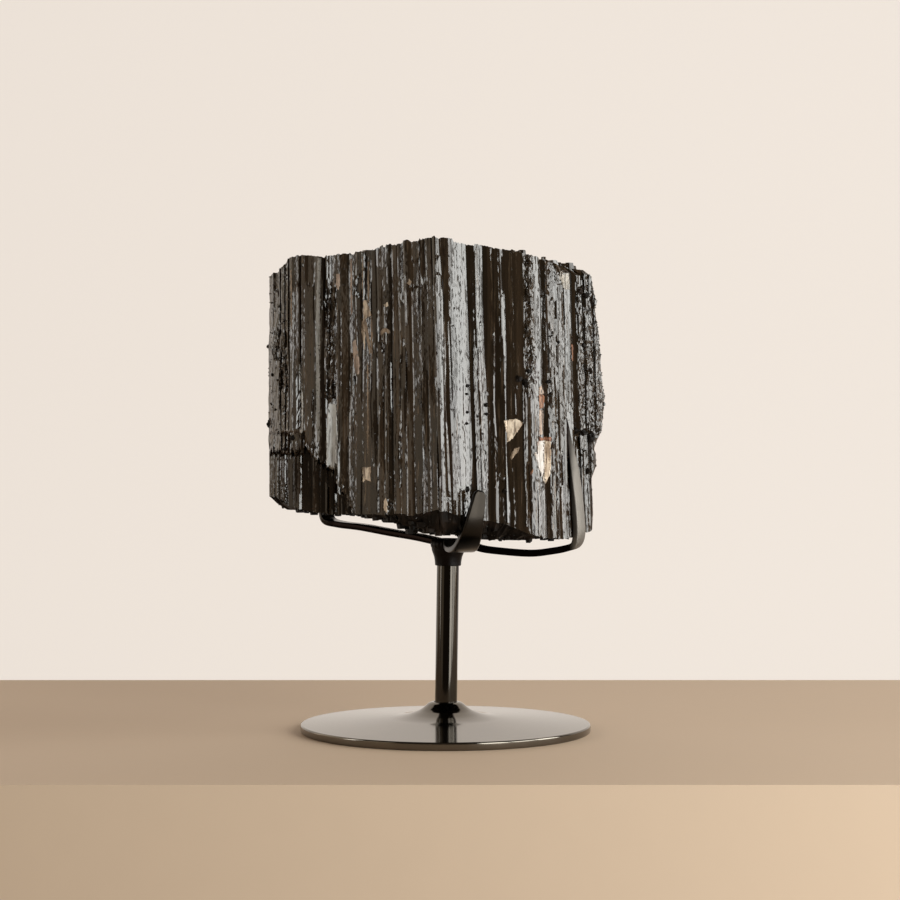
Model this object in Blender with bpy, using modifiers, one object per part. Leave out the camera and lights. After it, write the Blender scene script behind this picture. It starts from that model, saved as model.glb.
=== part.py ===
"""Black tourmaline on a metal stand.

A turned base with a flared neck carries a post and a ferrule. Three flat arms
spread from the ferrule and turn up around one natural aggregate of parallel
black crystals. Lengths are in millimetres here and metres in Blender; +X is to
the right of the front view, +Y is to the back and +Z is up. The origin is the
centre of the base's underside.
"""
import math

import bpy
from mathutils import Vector

MM = 0.001

# Clearance kept between pieces that touch.
GAP = 0.3

# Base: a thin disc that rises in a concave flare to the neck of the socket.
BASE_RADIUS = 75.0
RIM_HEIGHT = 4.2
RIM_ROUNDING = 0.9
FLARE_RADIUS = 72.0
NECK_RADIUS = 7.4
NECK_HEIGHT = 15.2
SOCKET_FLOOR = 5.0

# Post, leaning slightly to the right.
POST_RADIUS = 5.75
POST_TOP = 91.5
POST_LEAN = math.radians(0.85)

# Ferrule: a half ball with a boss that the arms butt against.
FERRULE_FOOT = 85.7
FERRULE_FOOT_RADIUS = 6.75
FERRULE_RIM = 96.0
FERRULE_RADIUS = 8.8
BOSS_RADIUS = 6.2
BOSS_TOP = 99.4

# Arms: flat bar, welded on edge-to-edge around the boss.
BAR_THICKNESS = 3.4
BAR_EDGE = 0.7
ARM_LEVEL = FERRULE_RIM + GAP + BAR_THICKNESS / 2.0

# Stone.
STONE_MIDDLE = 175.0
STONE_LEAN = 0.028
LEFT_RECESS = 4.5
LEFT_TOP_EDGE = -89.5
CRUST_TOP = 229.0
CRUST_FOOT = 155.0
CRUST_TOP_EDGE = 76.0
CRUST_FOOT_EDGE = 73.5

# The stone's plan, from its front corner round to the right: x, y, top, foot.
RIGHT_FACE = (
    (-2.6, -58.0, 250.2, 115.0),
    (0.8, -57.8, 250.0, 114.0),
    (6.2, -53.8, 249.3, 112.5),
    (11.7, -49.2, 248.2, 110.5),
    (15.2, -49.1, 247.6, 109.5),
    (19.9, -45.1, 246.8, 110.2),
    (28.7, -43.9, 245.6, 108.0),
    (30.4, -42.3, 245.0, 106.0),
    (40.2, -40.6, 243.2, 103.5),
    (46.7, -35.1, 242.0, 101.8),
    (50.2, -30.2, 241.4, 100.6),
    (56.7, -25.4, 241.0, 99.5),
    (57.2, -20.6, 237.4, 99.3),
    (63.4, -15.9, 237.0, 100.2),
    (67.5, -9.2, 236.6, 101.8),
    (74.6, -2.8, 236.2, 103.0),
    (80.6, 8.4, 235.6, 103.8),
)
BACK_FACE = (
    (82.0, 17.0, 234.8, 104.5),
    (74.5, 24.0, 236.0, 103.0),
    (76.0, 33.0, 235.0, 104.0),
    (62.5, 40.0, 237.6, 102.0),
    (57.0, 48.5, 236.4, 103.0),
    (40.5, 52.5, 239.0, 101.5),
    (34.0, 58.5, 237.8, 103.0),
    (14.0, 56.5, 240.2, 102.0),
    (8.0, 60.5, 239.0, 103.5),
    (-12.0, 59.5, 240.5, 104.5),
    (-18.0, 54.5, 241.2, 105.0),
    (-36.0, 56.0, 239.4, 107.5),
    (-47.0, 50.5, 240.6, 109.5),
    (-60.0, 46.5, 239.2, 111.5),
    (-73.0, 42.5, 238.0, 114.0),
    (-83.0, 34.5, 236.8, 117.5),
    (-88.0, 24.0, 236.2, 119.5),
)
LEFT_FACE = (
    (-92.0, 13.6, 237.0, 121.3),
    (-87.9, 0.7, 239.5, 120.0),
    (-80.6, -13.0, 244.6, 116.4),
    (-73.1, -18.5, 246.0, 114.0),
    (-65.2, -23.0, 245.8, 113.2),
    (-63.2, -22.4, 245.4, 112.6),
    (-60.4, -23.2, 244.8, 112.0),
    (-59.7, -29.9, 245.0, 112.0),
    (-54.8, -28.1, 244.8, 112.2),
    (-47.4, -34.7, 245.0, 112.6),
    (-41.2, -38.3, 245.3, 112.8),
    (-34.6, -42.8, 245.6, 112.4),
    (-24.9, -48.3, 248.2, 111.6),
    (-15.0, -53.4, 249.2, 112.8),
    (-5.6, -57.2, 250.3, 115.0),
)


def material(name, colour, roughness, metallic):
    """Make a Principled BSDF material."""
    made = bpy.data.materials.new(name)
    made.use_nodes = True
    shader = made.node_tree.nodes["Principled BSDF"]
    shader.inputs["Base Color"].default_value = (*colour, 1.0)
    shader.inputs["Roughness"].default_value = roughness
    shader.inputs["Metallic"].default_value = metallic
    return made


def add_object(name, mesh, finish, parts):
    """Link a mesh as a named piece with its own finish."""
    piece = bpy.data.objects.new(name, mesh)
    mesh.materials.append(finish)
    parts.objects.link(piece)
    return piece


def smooth_steps(points, steps):
    """Sample a Catmull-Rom spline through points of any dimension."""
    samples = []
    last = len(points) - 1
    for index in range(last):
        before = points[max(index - 1, 0)]
        start = points[index]
        end = points[index + 1]
        after = points[min(index + 2, last)]
        for step in range(steps):
            t = step / steps
            samples.append(tuple(catmull_rom(*four, t) for four in zip(before, start, end, after)))
    samples.append(tuple(points[last]))
    return samples


def catmull_rom(before, start, end, after, t):
    """Blend four neighbouring values at t between start and end."""
    return 0.5 * (
        2.0 * start
        + (end - before) * t
        + (2.0 * before - 5.0 * start + 4.0 * end - after) * t ** 2
        + (3.0 * start - before - 3.0 * end + after) * t ** 3
    )


def arc(centre_x, centre_z, radius, start_deg, end_deg, steps):
    """Points of a circular arc in the profile plane."""
    points = []
    for step in range(steps + 1):
        angle = math.radians(start_deg + (end_deg - start_deg) * step / steps)
        points.append((centre_x + radius * math.cos(angle), centre_z + radius * math.sin(angle)))
    return points


def turned(name, profile, steps, finish, parts):
    """Turn a profile of (radius, height) points, which start and end on the axis."""
    mesh = bpy.data.meshes.new(name)
    vertices = [(radius * MM, 0.0, height * MM) for radius, height in profile]
    mesh.from_pydata(vertices, [(i, i + 1) for i in range(len(vertices) - 1)], [])
    piece = add_object(name, mesh, finish, parts)
    screw = piece.modifiers.new("turn", "SCREW")
    screw.axis = "Z"
    screw.steps = steps
    screw.render_steps = steps
    screw.use_merge_vertices = True
    screw.merge_threshold = 0.00001
    screw.use_smooth_shade = True
    return piece


def base_profile():
    """Socket floor and wall, flared top, rounded rim and flat underside."""
    socket_radius = POST_RADIUS + GAP
    flare = smooth_steps(
        ((NECK_RADIUS, NECK_HEIGHT), (9.4, 14.1), (12.6, 11.5), (19.5, 8.8), (34.0, 6.9), (FLARE_RADIUS, RIM_HEIGHT)),
        2,
    )
    top_edge = arc(BASE_RADIUS - RIM_ROUNDING, RIM_HEIGHT - RIM_ROUNDING, RIM_ROUNDING, 90.0, 0.0, 3)
    foot_edge = arc(BASE_RADIUS - RIM_ROUNDING, RIM_ROUNDING, RIM_ROUNDING, 0.0, -90.0, 2)
    socket = [(0.0, SOCKET_FLOOR), (socket_radius, SOCKET_FLOOR), (socket_radius, NECK_HEIGHT - 0.3)]
    return socket + flare + top_edge + foot_edge + [(0.0, 0.0)]


def post_profile():
    """Plain rod with a small chamfer at the top."""
    foot = SOCKET_FLOOR + GAP
    chamfer = 0.5
    return [
        (0.0, POST_TOP),
        (POST_RADIUS - chamfer, POST_TOP),
        (POST_RADIUS, POST_TOP - chamfer),
        (POST_RADIUS, foot),
        (0.0, foot),
    ]


def ferrule_profile():
    """Boss, rim, half ball, and a blind bore that the post stands in."""
    bore_radius = POST_RADIUS + GAP
    ball = smooth_steps(
        ((FERRULE_RADIUS, FERRULE_RIM - 0.5), (8.45, 93.4), (7.3, 90.2), (FERRULE_FOOT_RADIUS, FERRULE_FOOT)),
        2,
    )
    return (
        [(0.0, BOSS_TOP), (BOSS_RADIUS - 0.6, BOSS_TOP), (BOSS_RADIUS, BOSS_TOP - 0.6)]
        + [(BOSS_RADIUS, FERRULE_RIM), (FERRULE_RADIUS - 0.4, FERRULE_RIM)]
        + ball
        + [(bore_radius, FERRULE_FOOT), (bore_radius, POST_TOP + GAP), (0.0, POST_TOP + GAP)]
    )


def arm(name, stations, finish, parts):
    """Flat bar along stations of (x, y, z, width, bearing of the width in degrees)."""
    vertices = []
    faces = []
    for x, y, z, width, bearing in smooth_steps(stations, 4):
        across = Vector((math.cos(math.radians(bearing)), math.sin(math.radians(bearing)), 0.0))
        middle = Vector((x, y, z))
        vertices.append((middle - across * width / 2.0) * MM)
        vertices.append((middle + across * width / 2.0) * MM)
    for row in range(len(vertices) // 2 - 1):
        faces.append((2 * row, 2 * row + 1, 2 * row + 3, 2 * row + 2))
    mesh = bpy.data.meshes.new(name)
    mesh.from_pydata(vertices, [], faces)
    piece = add_object(name, mesh, finish, parts)
    solidify = piece.modifiers.new("thickness", "SOLIDIFY")
    solidify.thickness = BAR_THICKNESS * MM
    solidify.offset = 0.0
    solidify.use_even_offset = True
    bevel = piece.modifiers.new("edges", "BEVEL")
    bevel.width = BAR_EDGE * MM
    bevel.segments = 2
    bevel.limit_method = "ANGLE"
    bevel.angle_limit = math.radians(50.0)
    return piece


def along(origin, bearing, reach):
    """Point at a reach from an origin along a bearing in the plan."""
    angle = math.radians(bearing)
    return origin[0] + reach * math.cos(angle), origin[1] + reach * math.sin(angle)


def left_arm(hub, finish, parts):
    """Long bar to the back left, twisted to lie flat against the stone's back."""
    bearing = 141.5
    width = 8.0
    start = BOSS_RADIUS + GAP + 0.6
    run = ((start, ARM_LEVEL), (20.0, 99.9), (38.0, 101.8), (58.0, 104.2), (74.0, 105.4))
    stations = [(*along(hub, bearing, reach), z, width, bearing - 90.0) for reach, z in run]
    stations += [
        (-63.2, 50.4, 107.4, width, 35.0),
        (-65.0, 51.2, 113.0, width, 20.0),
        (-65.4, 49.0, 122.0, 7.6, 17.0),
        (-65.2, 47.9, 138.0, 6.4, 17.0),
        (-64.8, 47.7, 152.0, 4.4, 17.0),
        (-64.6, 47.7, 158.5, 3.0, 17.0),
        (-64.5, 47.7, 161.0, 1.2, 17.0),
    ]
    return arm(name="left_arm", stations=stations, finish=finish, parts=parts)


def right_arm(hub, finish, parts):
    """Long bar to the right, turned up into a tapering blade on the front right face."""
    bearing = -10.5
    width = 8.0
    start = BOSS_RADIUS + GAP + 0.6
    run = (
        (start, ARM_LEVEL),
        (FERRULE_RADIUS + 0.9, ARM_LEVEL),
        (17.0, 94.8),
        (27.0, 93.4),
        (43.0, 92.4),
        (54.0, 93.6),
        (62.0, 95.2),
    )
    stations = [(*along(hub, bearing, reach), z, width, bearing + 90.0) for reach, z in run]
    stations += [
        (66.9, -14.2, 97.4, width, 66.0),
        (68.2, -16.2, 103.0, 7.2, 50.0),
        (67.9, -16.6, 111.0, 7.0, 48.0),
        (66.9, -16.9, 122.0, 6.8, 46.0),
        (65.1, -18.6, 136.0, 6.2, 46.0),
        (62.9, -20.6, 148.0, 4.2, 46.0),
        (61.5, -22.0, 158.0, 2.6, 46.0),
        (61.1, -22.3, 161.5, 1.2, 46.0),
    ]
    return arm(name="right_arm", stations=stations, finish=finish, parts=parts)


def front_arm(hub, finish, parts):
    """Short broad prong that comes forward and turns up into a rounded leaf."""
    start = BOSS_RADIUS + GAP + 0.6
    run = (
        (-77.5, start, ARM_LEVEL, 8.6, 12.5),
        (-77.5, FERRULE_RADIUS + 0.9, ARM_LEVEL, 9.6, 12.5),
        (-77.5, 14.0, 97.0, 11.2, 12.5),
        (-77.5, 22.0, 95.6, 13.0, 14.0),
        (-77.5, 32.0, 95.6, 13.2, 16.0),
        (-77.5, 42.0, 98.0, 12.6, 18.0),
        (-77.3, 50.9, 104.0, 11.0, 20.0),
        (-76.2, 54.8, 112.0, 9.0, 22.0),
        (-74.6, 54.9, 119.0, 7.4, 24.0),
        (-73.7, 54.4, 123.0, 6.2, 25.0),
        (-73.3, 54.3, 124.8, 4.4, 25.0),
        (-73.1, 54.3, 125.6, 2.2, 25.0),
    )
    stations = [(*along(hub, bearing, reach), z, width, twist) for bearing, reach, z, width, twist in run]
    return arm(name="front_arm", stations=stations, finish=finish, parts=parts)


def blend(value, low, high):
    """Smooth step from 0 at low to 1 at high."""
    t = min(max((value - low) / (high - low), 0.0), 1.0)
    return t * t * (3.0 - 2.0 * t)


def leaned(x, y, z):
    """Lean the crystals: the right half runs down to the right."""
    return Vector((x + STONE_LEAN * blend(x, -45.0, 5.0) * (STONE_MIDDLE - z), y, z))


def ledge_height(x):
    """Height of the broken ledge on the lower left, rising to the left edge."""
    return 119.0 + 25.5 * blend(-x, 50.0, 72.0)


def column_rings(x, y, top, foot):
    """One crystal column's points from foot to top, with its broken ledges."""
    on_left = y < 5.0 and -90.0 < x < -56.0
    on_right = x > 70.0 and y < 30.0
    lower = ledge_height(x) if on_left else CRUST_FOOT if on_right else 140.0
    below_x = min(x - 3.5, CRUST_FOOT_EDGE) if on_right else x
    below_y = y + LEFT_RECESS if on_left else y
    above_x = min(x - 1.5, CRUST_TOP_EDGE) if on_right else max(x, LEFT_TOP_EDGE)
    return [
        leaned(below_x, below_y, foot),
        leaned(below_x, below_y, (foot + lower) / 2.0),
        leaned(below_x, below_y, lower - 1.0),
        leaned(x, y, lower + 1.0),
        leaned(x, y, STONE_MIDDLE),
        leaned(x, y, (STONE_MIDDLE + CRUST_TOP) / 2.0),
        leaned(x, y, CRUST_TOP - 1.0),
        leaned(above_x, y, CRUST_TOP + 1.0),
        leaned(above_x, y, top),
    ]


def underside(x, y):
    """Height of the broken underside inside the stone's foot."""
    left = 111.5 - 9.0 * blend(x, -60.0, 2.0)
    return left - 2.4 * blend(x, 6.0, 22.0) + 4.0 * blend(x, 55.0, 78.0)


def crown(x, y):
    """Height of the broken top inside its edge."""
    return 246.5 - 0.05 * abs(x) - 6.0 * blend(y, -20.0, 50.0)


def cap_ring(outline, shrink, share, centre, height):
    """Ring of an end of the stone, shrunk towards its middle.

    Its height takes a share of the end's own surface and the rest of the edge.
    """
    ring = []
    for point in outline:
        x = centre.x + (point.x - centre.x) * shrink
        y = centre.y + (point.y - centre.y) * shrink
        ring.append(Vector((x, y, point.z + (height(x, y) - point.z) * share)))
    return ring


def stone(finish, parts):
    """Loft the columns of the plan into one closed stone."""
    columns = [column_rings(*column) for column in RIGHT_FACE + BACK_FACE + LEFT_FACE]
    rings = [list(ring) for ring in zip(*columns)]
    centre = Vector((-2.0, 2.0, 0.0))
    lower = [cap_ring(rings[0], *step, centre, underside) for step in ((0.3, 1.0), (0.6, 0.85), (0.86, 0.35))]
    upper = [cap_ring(rings[-1], *step, centre, crown) for step in ((0.9, 0.5), (0.6, 0.9), (0.3, 1.0))]
    rings = lower + rings + upper
    count = len(columns)
    vertices = [point * MM for ring in rings for point in ring]
    faces = []
    for row in range(len(rings) - 1):
        for index in range(count):
            after = (index + 1) % count
            low, high = row * count, (row + 1) * count
            faces.append((low + index, low + after, high + after, high + index))
    vertices.append(Vector((centre.x, centre.y, underside(centre.x, centre.y))) * MM)
    vertices.append(Vector((centre.x, centre.y, crown(centre.x, centre.y))) * MM)
    top_row = (len(rings) - 1) * count
    for index in range(count):
        after = (index + 1) % count
        faces.append((after, index, len(vertices) - 2))
        faces.append((top_row + index, top_row + after, len(vertices) - 1))
    mesh = bpy.data.meshes.new("tourmaline")
    mesh.from_pydata(vertices, [], faces)
    return add_object("tourmaline", mesh, finish, parts)


def main():
    """Build every piece into the object's collection."""
    for existing in list(bpy.data.objects):
        bpy.data.objects.remove(existing)
    parts = bpy.data.collections.new("tourmaline_on_stand")
    bpy.context.scene.collection.children.link(parts)

    gunmetal = (0.045, 0.042, 0.04)
    turned("base", base_profile(), 96, material("base_metal", gunmetal, 0.34, 1.0), parts)
    post = turned("post", post_profile(), 32, material("post_metal", gunmetal, 0.22, 1.0), parts)
    ferrule = turned("ferrule", ferrule_profile(), 48, material("ferrule_metal", gunmetal, 0.3, 1.0), parts)

    pivot = bpy.data.objects.new("post_lean", None)
    parts.objects.link(pivot)
    pivot.rotation_euler = (0.0, POST_LEAN, 0.0)
    for piece in (post, ferrule):
        piece.parent = pivot

    hub = (math.sin(POST_LEAN) * FERRULE_RIM, 0.0)
    left_arm(hub, material("left_arm_metal", gunmetal, 0.3, 1.0), parts)
    right_arm(hub, material("right_arm_metal", gunmetal, 0.3, 1.0), parts)
    front_arm(hub, material("front_arm_metal", gunmetal, 0.3, 1.0), parts)
    stone(material("black_tourmaline", (0.02, 0.018, 0.017), 0.28, 0.0), parts)


main()
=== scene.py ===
"""Looks of a rough black tourmaline on a metal stand.

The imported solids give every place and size. Lengths here are millimetres until
a mesh is made, which turns them into metres. +X is to the right of the front,
+Y is to the back and +Z is up; the origin is the centre of the base's underside.
"""
import logging
import math
from dataclasses import dataclass, field
from enum import Enum
from typing import Callable, Iterable, Mapping, Sequence

import bmesh
import bpy
import numpy as np
from mathutils import Matrix, Vector
from mathutils.bvhtree import BVHTree
from mathutils.geometry import delaunay_2d_cdt


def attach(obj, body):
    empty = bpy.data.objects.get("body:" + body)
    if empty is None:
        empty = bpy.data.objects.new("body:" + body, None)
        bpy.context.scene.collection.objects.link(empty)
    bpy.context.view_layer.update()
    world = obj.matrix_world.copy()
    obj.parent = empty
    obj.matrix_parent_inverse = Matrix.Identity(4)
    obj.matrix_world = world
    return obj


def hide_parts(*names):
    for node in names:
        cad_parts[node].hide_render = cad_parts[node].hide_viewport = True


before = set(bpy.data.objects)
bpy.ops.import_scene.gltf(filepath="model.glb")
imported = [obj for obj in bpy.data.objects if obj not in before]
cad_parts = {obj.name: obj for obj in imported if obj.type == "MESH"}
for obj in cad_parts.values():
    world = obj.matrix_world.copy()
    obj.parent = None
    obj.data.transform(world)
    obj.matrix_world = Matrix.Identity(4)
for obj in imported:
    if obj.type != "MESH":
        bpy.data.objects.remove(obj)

MM = 0.001
BODY = "root"
METAL_SLOT = "gunmetal"
STONE_SLOT = "tourmaline"
# Near-black: the ferrule's blacking darkened as painted shade, and the painted shade on the bars under the
# stone.
BLACK_AND_SHADE = (0.004, 0.0022, 0.0016)

log = logging.getLogger("tourmaline")

Colour = tuple[float, float, float]
Point = tuple[float, float, float]
Pair = tuple[float, float]
Corners = tuple[int, ...]
Array = np.ndarray
Relief = Callable[[Array, Array], Array]
Piece = bpy.types.Object


# ---------------- node desk


class Desk:
    """A node tree being wired up, for a material or for Geometry Nodes."""

    def __init__(self, tree: bpy.types.NodeTree) -> None:
        """Start on the tree that new nodes go into."""
        self.tree = tree

    @staticmethod
    def pick(sockets: Iterable[bpy.types.NodeSocket], name: str | int) -> bpy.types.NodeSocket:
        """Find a socket in use by its name or its place.

        Args:
            sockets: A node's inputs or outputs.
            name: The socket's name, or its index.

        Returns:
            The first enabled socket of that name, or the one at that index.
        """
        if isinstance(name, int):
            return list(sockets)[name]
        return next(socket for socket in sockets if socket.name == name and socket.enabled)

    def node(
        self,
        kind: str,
        settings: Mapping[str, object] | None = None,
        sockets: Mapping[str | int, object] | None = None,
    ) -> bpy.types.Node:
        """Add a node, apply its settings, then fill or link its sockets.

        Args:
            kind: The node's type.
            settings: Attributes of the node, set before its sockets.
            sockets: Values or Wire objects by input name or index.

        Returns:
            The finished node.
        """
        made = self.tree.nodes.new(kind)
        for name, value in (settings or {}).items():
            setattr(made, name, value)
        self.feed(made, sockets or {})
        return made

    def feed(self, made: bpy.types.Node, sockets: Mapping[str | int, object]) -> None:
        """Fill or link inputs of a node.

        Args:
            made: The node.
            sockets: Values or Wire objects by input name or index.
        """
        for name, value in sockets.items():
            target = self.pick(made.inputs, name)
            if isinstance(value, Wire):
                self.tree.links.new(value.socket, target)
            else:
                target.default_value = value

    def wire(self, made: bpy.types.Node, name: str | int = 0) -> "Wire":
        """Take an output of a node as a wire for arithmetic."""
        return Wire(self, self.pick(made.outputs, name))

    def noise(self, place: "Wire", scale: float, detail: float = 3.0, roughness: float = 0.55) -> "Wire":
        """Add a noise of about 0.3 to 0.7, with scale features a metre and detail octaves."""
        sockets = {"Vector": place, "Scale": scale, "Detail": detail, "Roughness": roughness}
        return self.wire(self.node("ShaderNodeTexNoise", {"noise_dimensions": "3D"}, sockets))

    def cells(self, place: "Wire", scale: float) -> "Wire":
        """Add the distance to the nearest seed of a cell pattern."""
        made = self.node("ShaderNodeTexVoronoi", {"feature": "F1"}, {"Vector": place, "Scale": scale})
        return self.wire(made, "Distance")

    def stretched(self, place: "Wire", factors: Point) -> "Wire":
        """Scale a position by a factor for each axis."""
        made = self.node("ShaderNodeVectorMath", {"operation": "MULTIPLY"}, {0: place, 1: factors})
        return self.wire(made)

    def scaled(self, arrow: "Wire", factor: "Wire") -> "Wire":
        """Scale a vector by a number."""
        sockets = {0: arrow, "Scale": factor}
        return self.wire(self.node("ShaderNodeVectorMath", {"operation": "SCALE"}, sockets))

    def reach(self, place: "Wire") -> "Wire":
        """Distance of a position from the upright axis."""
        flat = self.stretched(place, (1.0, 1.0, 0.0))
        return self.wire(self.node("ShaderNodeVectorMath", {"operation": "LENGTH"}, {0: flat}), "Value")

    def mixed(self, share: object, first: object, second: object) -> "Wire":
        """Mix two colours, each four numbers or a wire, by the share of the second."""
        sockets = {"Factor": share, "A": first, "B": second}
        return self.wire(self.node("ShaderNodeMix", {"data_type": "RGBA"}, sockets), "Result")

    def bump(
        self, height: "Wire", depth: float, strength: float = 1.0, below: "Wire | None" = None
    ) -> "Wire":
        """Turn a height pattern into a surface normal.

        Args:
            height: The pattern, 0 to 1.
            depth: Its depth in metres.
            strength: Share of the effect.
            below: A normal that this one is laid on.

        Returns:
            The normal.
        """
        sockets = {"Height": height, "Distance": depth, "Strength": strength}
        if below is not None:
            sockets["Normal"] = below
        return self.wire(self.node("ShaderNodeBump", {}, sockets), "Normal")


class Wire:
    """A socket that carries a value, with arithmetic that adds Math nodes."""

    def __init__(self, desk: Desk, socket: bpy.types.NodeSocket) -> None:
        """Wrap an output socket of the desk's tree."""
        self.desk = desk
        self.socket = socket

    def _math(self, operation: str, *terms: object) -> "Wire":
        """Add a Math node on numbers or wires, and take its result."""
        sockets = dict(enumerate(terms))
        return self.desk.wire(self.desk.node("ShaderNodeMath", {"operation": operation}, sockets))

    def __add__(self, other: object) -> "Wire":
        """Add."""
        return self._math("ADD", self, other)

    __radd__ = __add__

    def __sub__(self, other: object) -> "Wire":
        """Subtract."""
        return self._math("SUBTRACT", self, other)

    def __rsub__(self, other: object) -> "Wire":
        """Subtract from a number."""
        return self._math("SUBTRACT", other, self)

    def __mul__(self, other: object) -> "Wire":
        """Multiply."""
        return self._math("MULTIPLY", self, other)

    __rmul__ = __mul__

    def __pow__(self, other: object) -> "Wire":
        """Raise to a power."""
        return self._math("POWER", self, other)

    def above(self, low: float, high: float) -> "Wire":
        """Smooth step from 0 at low to 1 at high.

        Args:
            low: Where the step starts.
            high: Where it is complete.

        Returns:
            The mask, 0 to 1.
        """
        settings = {"interpolation_type": "SMOOTHSTEP"}
        sockets = {"Value": self, "From Min": low, "From Max": high, "To Min": 0.0, "To Max": 1.0}
        return self.desk.wire(self.desk.node("ShaderNodeMapRange", settings, sockets))


# ---------------- finishes


class Finish:
    """A finish with a procedural node material, made once."""

    name: str

    def material(self) -> bpy.types.Material:
        """Fetch the finish's material, making it the first time.

        Returns:
            The material.
        """
        found = bpy.data.materials.get(self.name)
        if found is not None:
            return found
        made = bpy.data.materials.new(self.name)
        made.use_nodes = True
        desk = Desk(made.node_tree)
        desk.feed(made.node_tree.nodes["Principled BSDF"], self.sockets(desk))
        return made

    def sockets(self, desk: Desk) -> dict[str, object]:
        """Wire up what the shader's sockets take, by their names."""
        raise NotImplementedError

    @staticmethod
    def place(desk: Desk) -> Wire:
        """Position on the piece, in metres."""
        return desk.wire(desk.node("ShaderNodeTexCoord"), "Object")

    @staticmethod
    def kept(desk: Desk, name: str) -> Wire:
        """A number kept on the mesh's points."""
        return desk.wire(desk.node("ShaderNodeAttribute", {"attribute_name": name}), "Fac")


def opaque(colour: Colour) -> tuple[float, float, float, float]:
    """Add a full alpha to a colour."""
    return (*colour, 1.0)


@dataclass(frozen=True)
class SatinNickel(Finish):
    """Dark plating over steel, satin, with faint rubbing along one axis.

    Given the two reaches of its painted shade, the plating is painted near-black
    nearer to the upright axis than the first, in metres, standing in for the shade
    under the stone, and it is clean beyond the second. The line between wanders by
    ragged.
    """

    name: str = "satin_black_nickel"
    colour: Colour = (0.16, 0.145, 0.125)
    worn: Colour = (0.19, 0.17, 0.145)
    roughness: float = 0.25
    rubbing: Point = (1.0, 1.0, 1.0)
    metallic: float = 1.0
    index: float = 1.5
    # Reaches, in metres, of painted near-black shade near the upright axis, if any.
    painted_shade_reach: Pair | None = None
    ragged: float = 0.004

    def sockets(self, desk: Desk) -> dict[str, object]:
        """Wire up the plating.

        Args:
            desk: The material's desk.

        Returns:
            Values or wires by socket name.
        """
        place = self.place(desk)
        rubbed = desk.noise(desk.stretched(place, self.rubbing), 900.0, 4.0, 0.65)
        cloudy = desk.noise(place, 38.0)
        specks = desk.noise(place, 2600.0, 2.0)
        colour = desk.mixed(cloudy.above(0.35, 0.75) * 0.6, opaque(self.colour), opaque(self.worn))
        if self.painted_shade_reach is not None:
            low, high = self.painted_shade_reach
            reach = desk.reach(place) + (cloudy - 0.5) * self.ragged
            # Painted shade: near-black near the upright axis, where the bars lie under the stone.
            colour = desk.mixed(reach.above(low, high), opaque(BLACK_AND_SHADE), colour)
        rough = self.roughness + (rubbed - 0.5) * 0.08 + (cloudy - 0.5) * 0.06
        normal = desk.bump(rubbed, 0.000006, 0.4)
        normal = desk.bump(specks, 0.000002, 0.3, normal)
        return {
            "Base Color": colour,
            "Metallic": self.metallic,
            "Roughness": rough,
            "IOR": self.index,
            "Normal": normal,
        }


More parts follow.
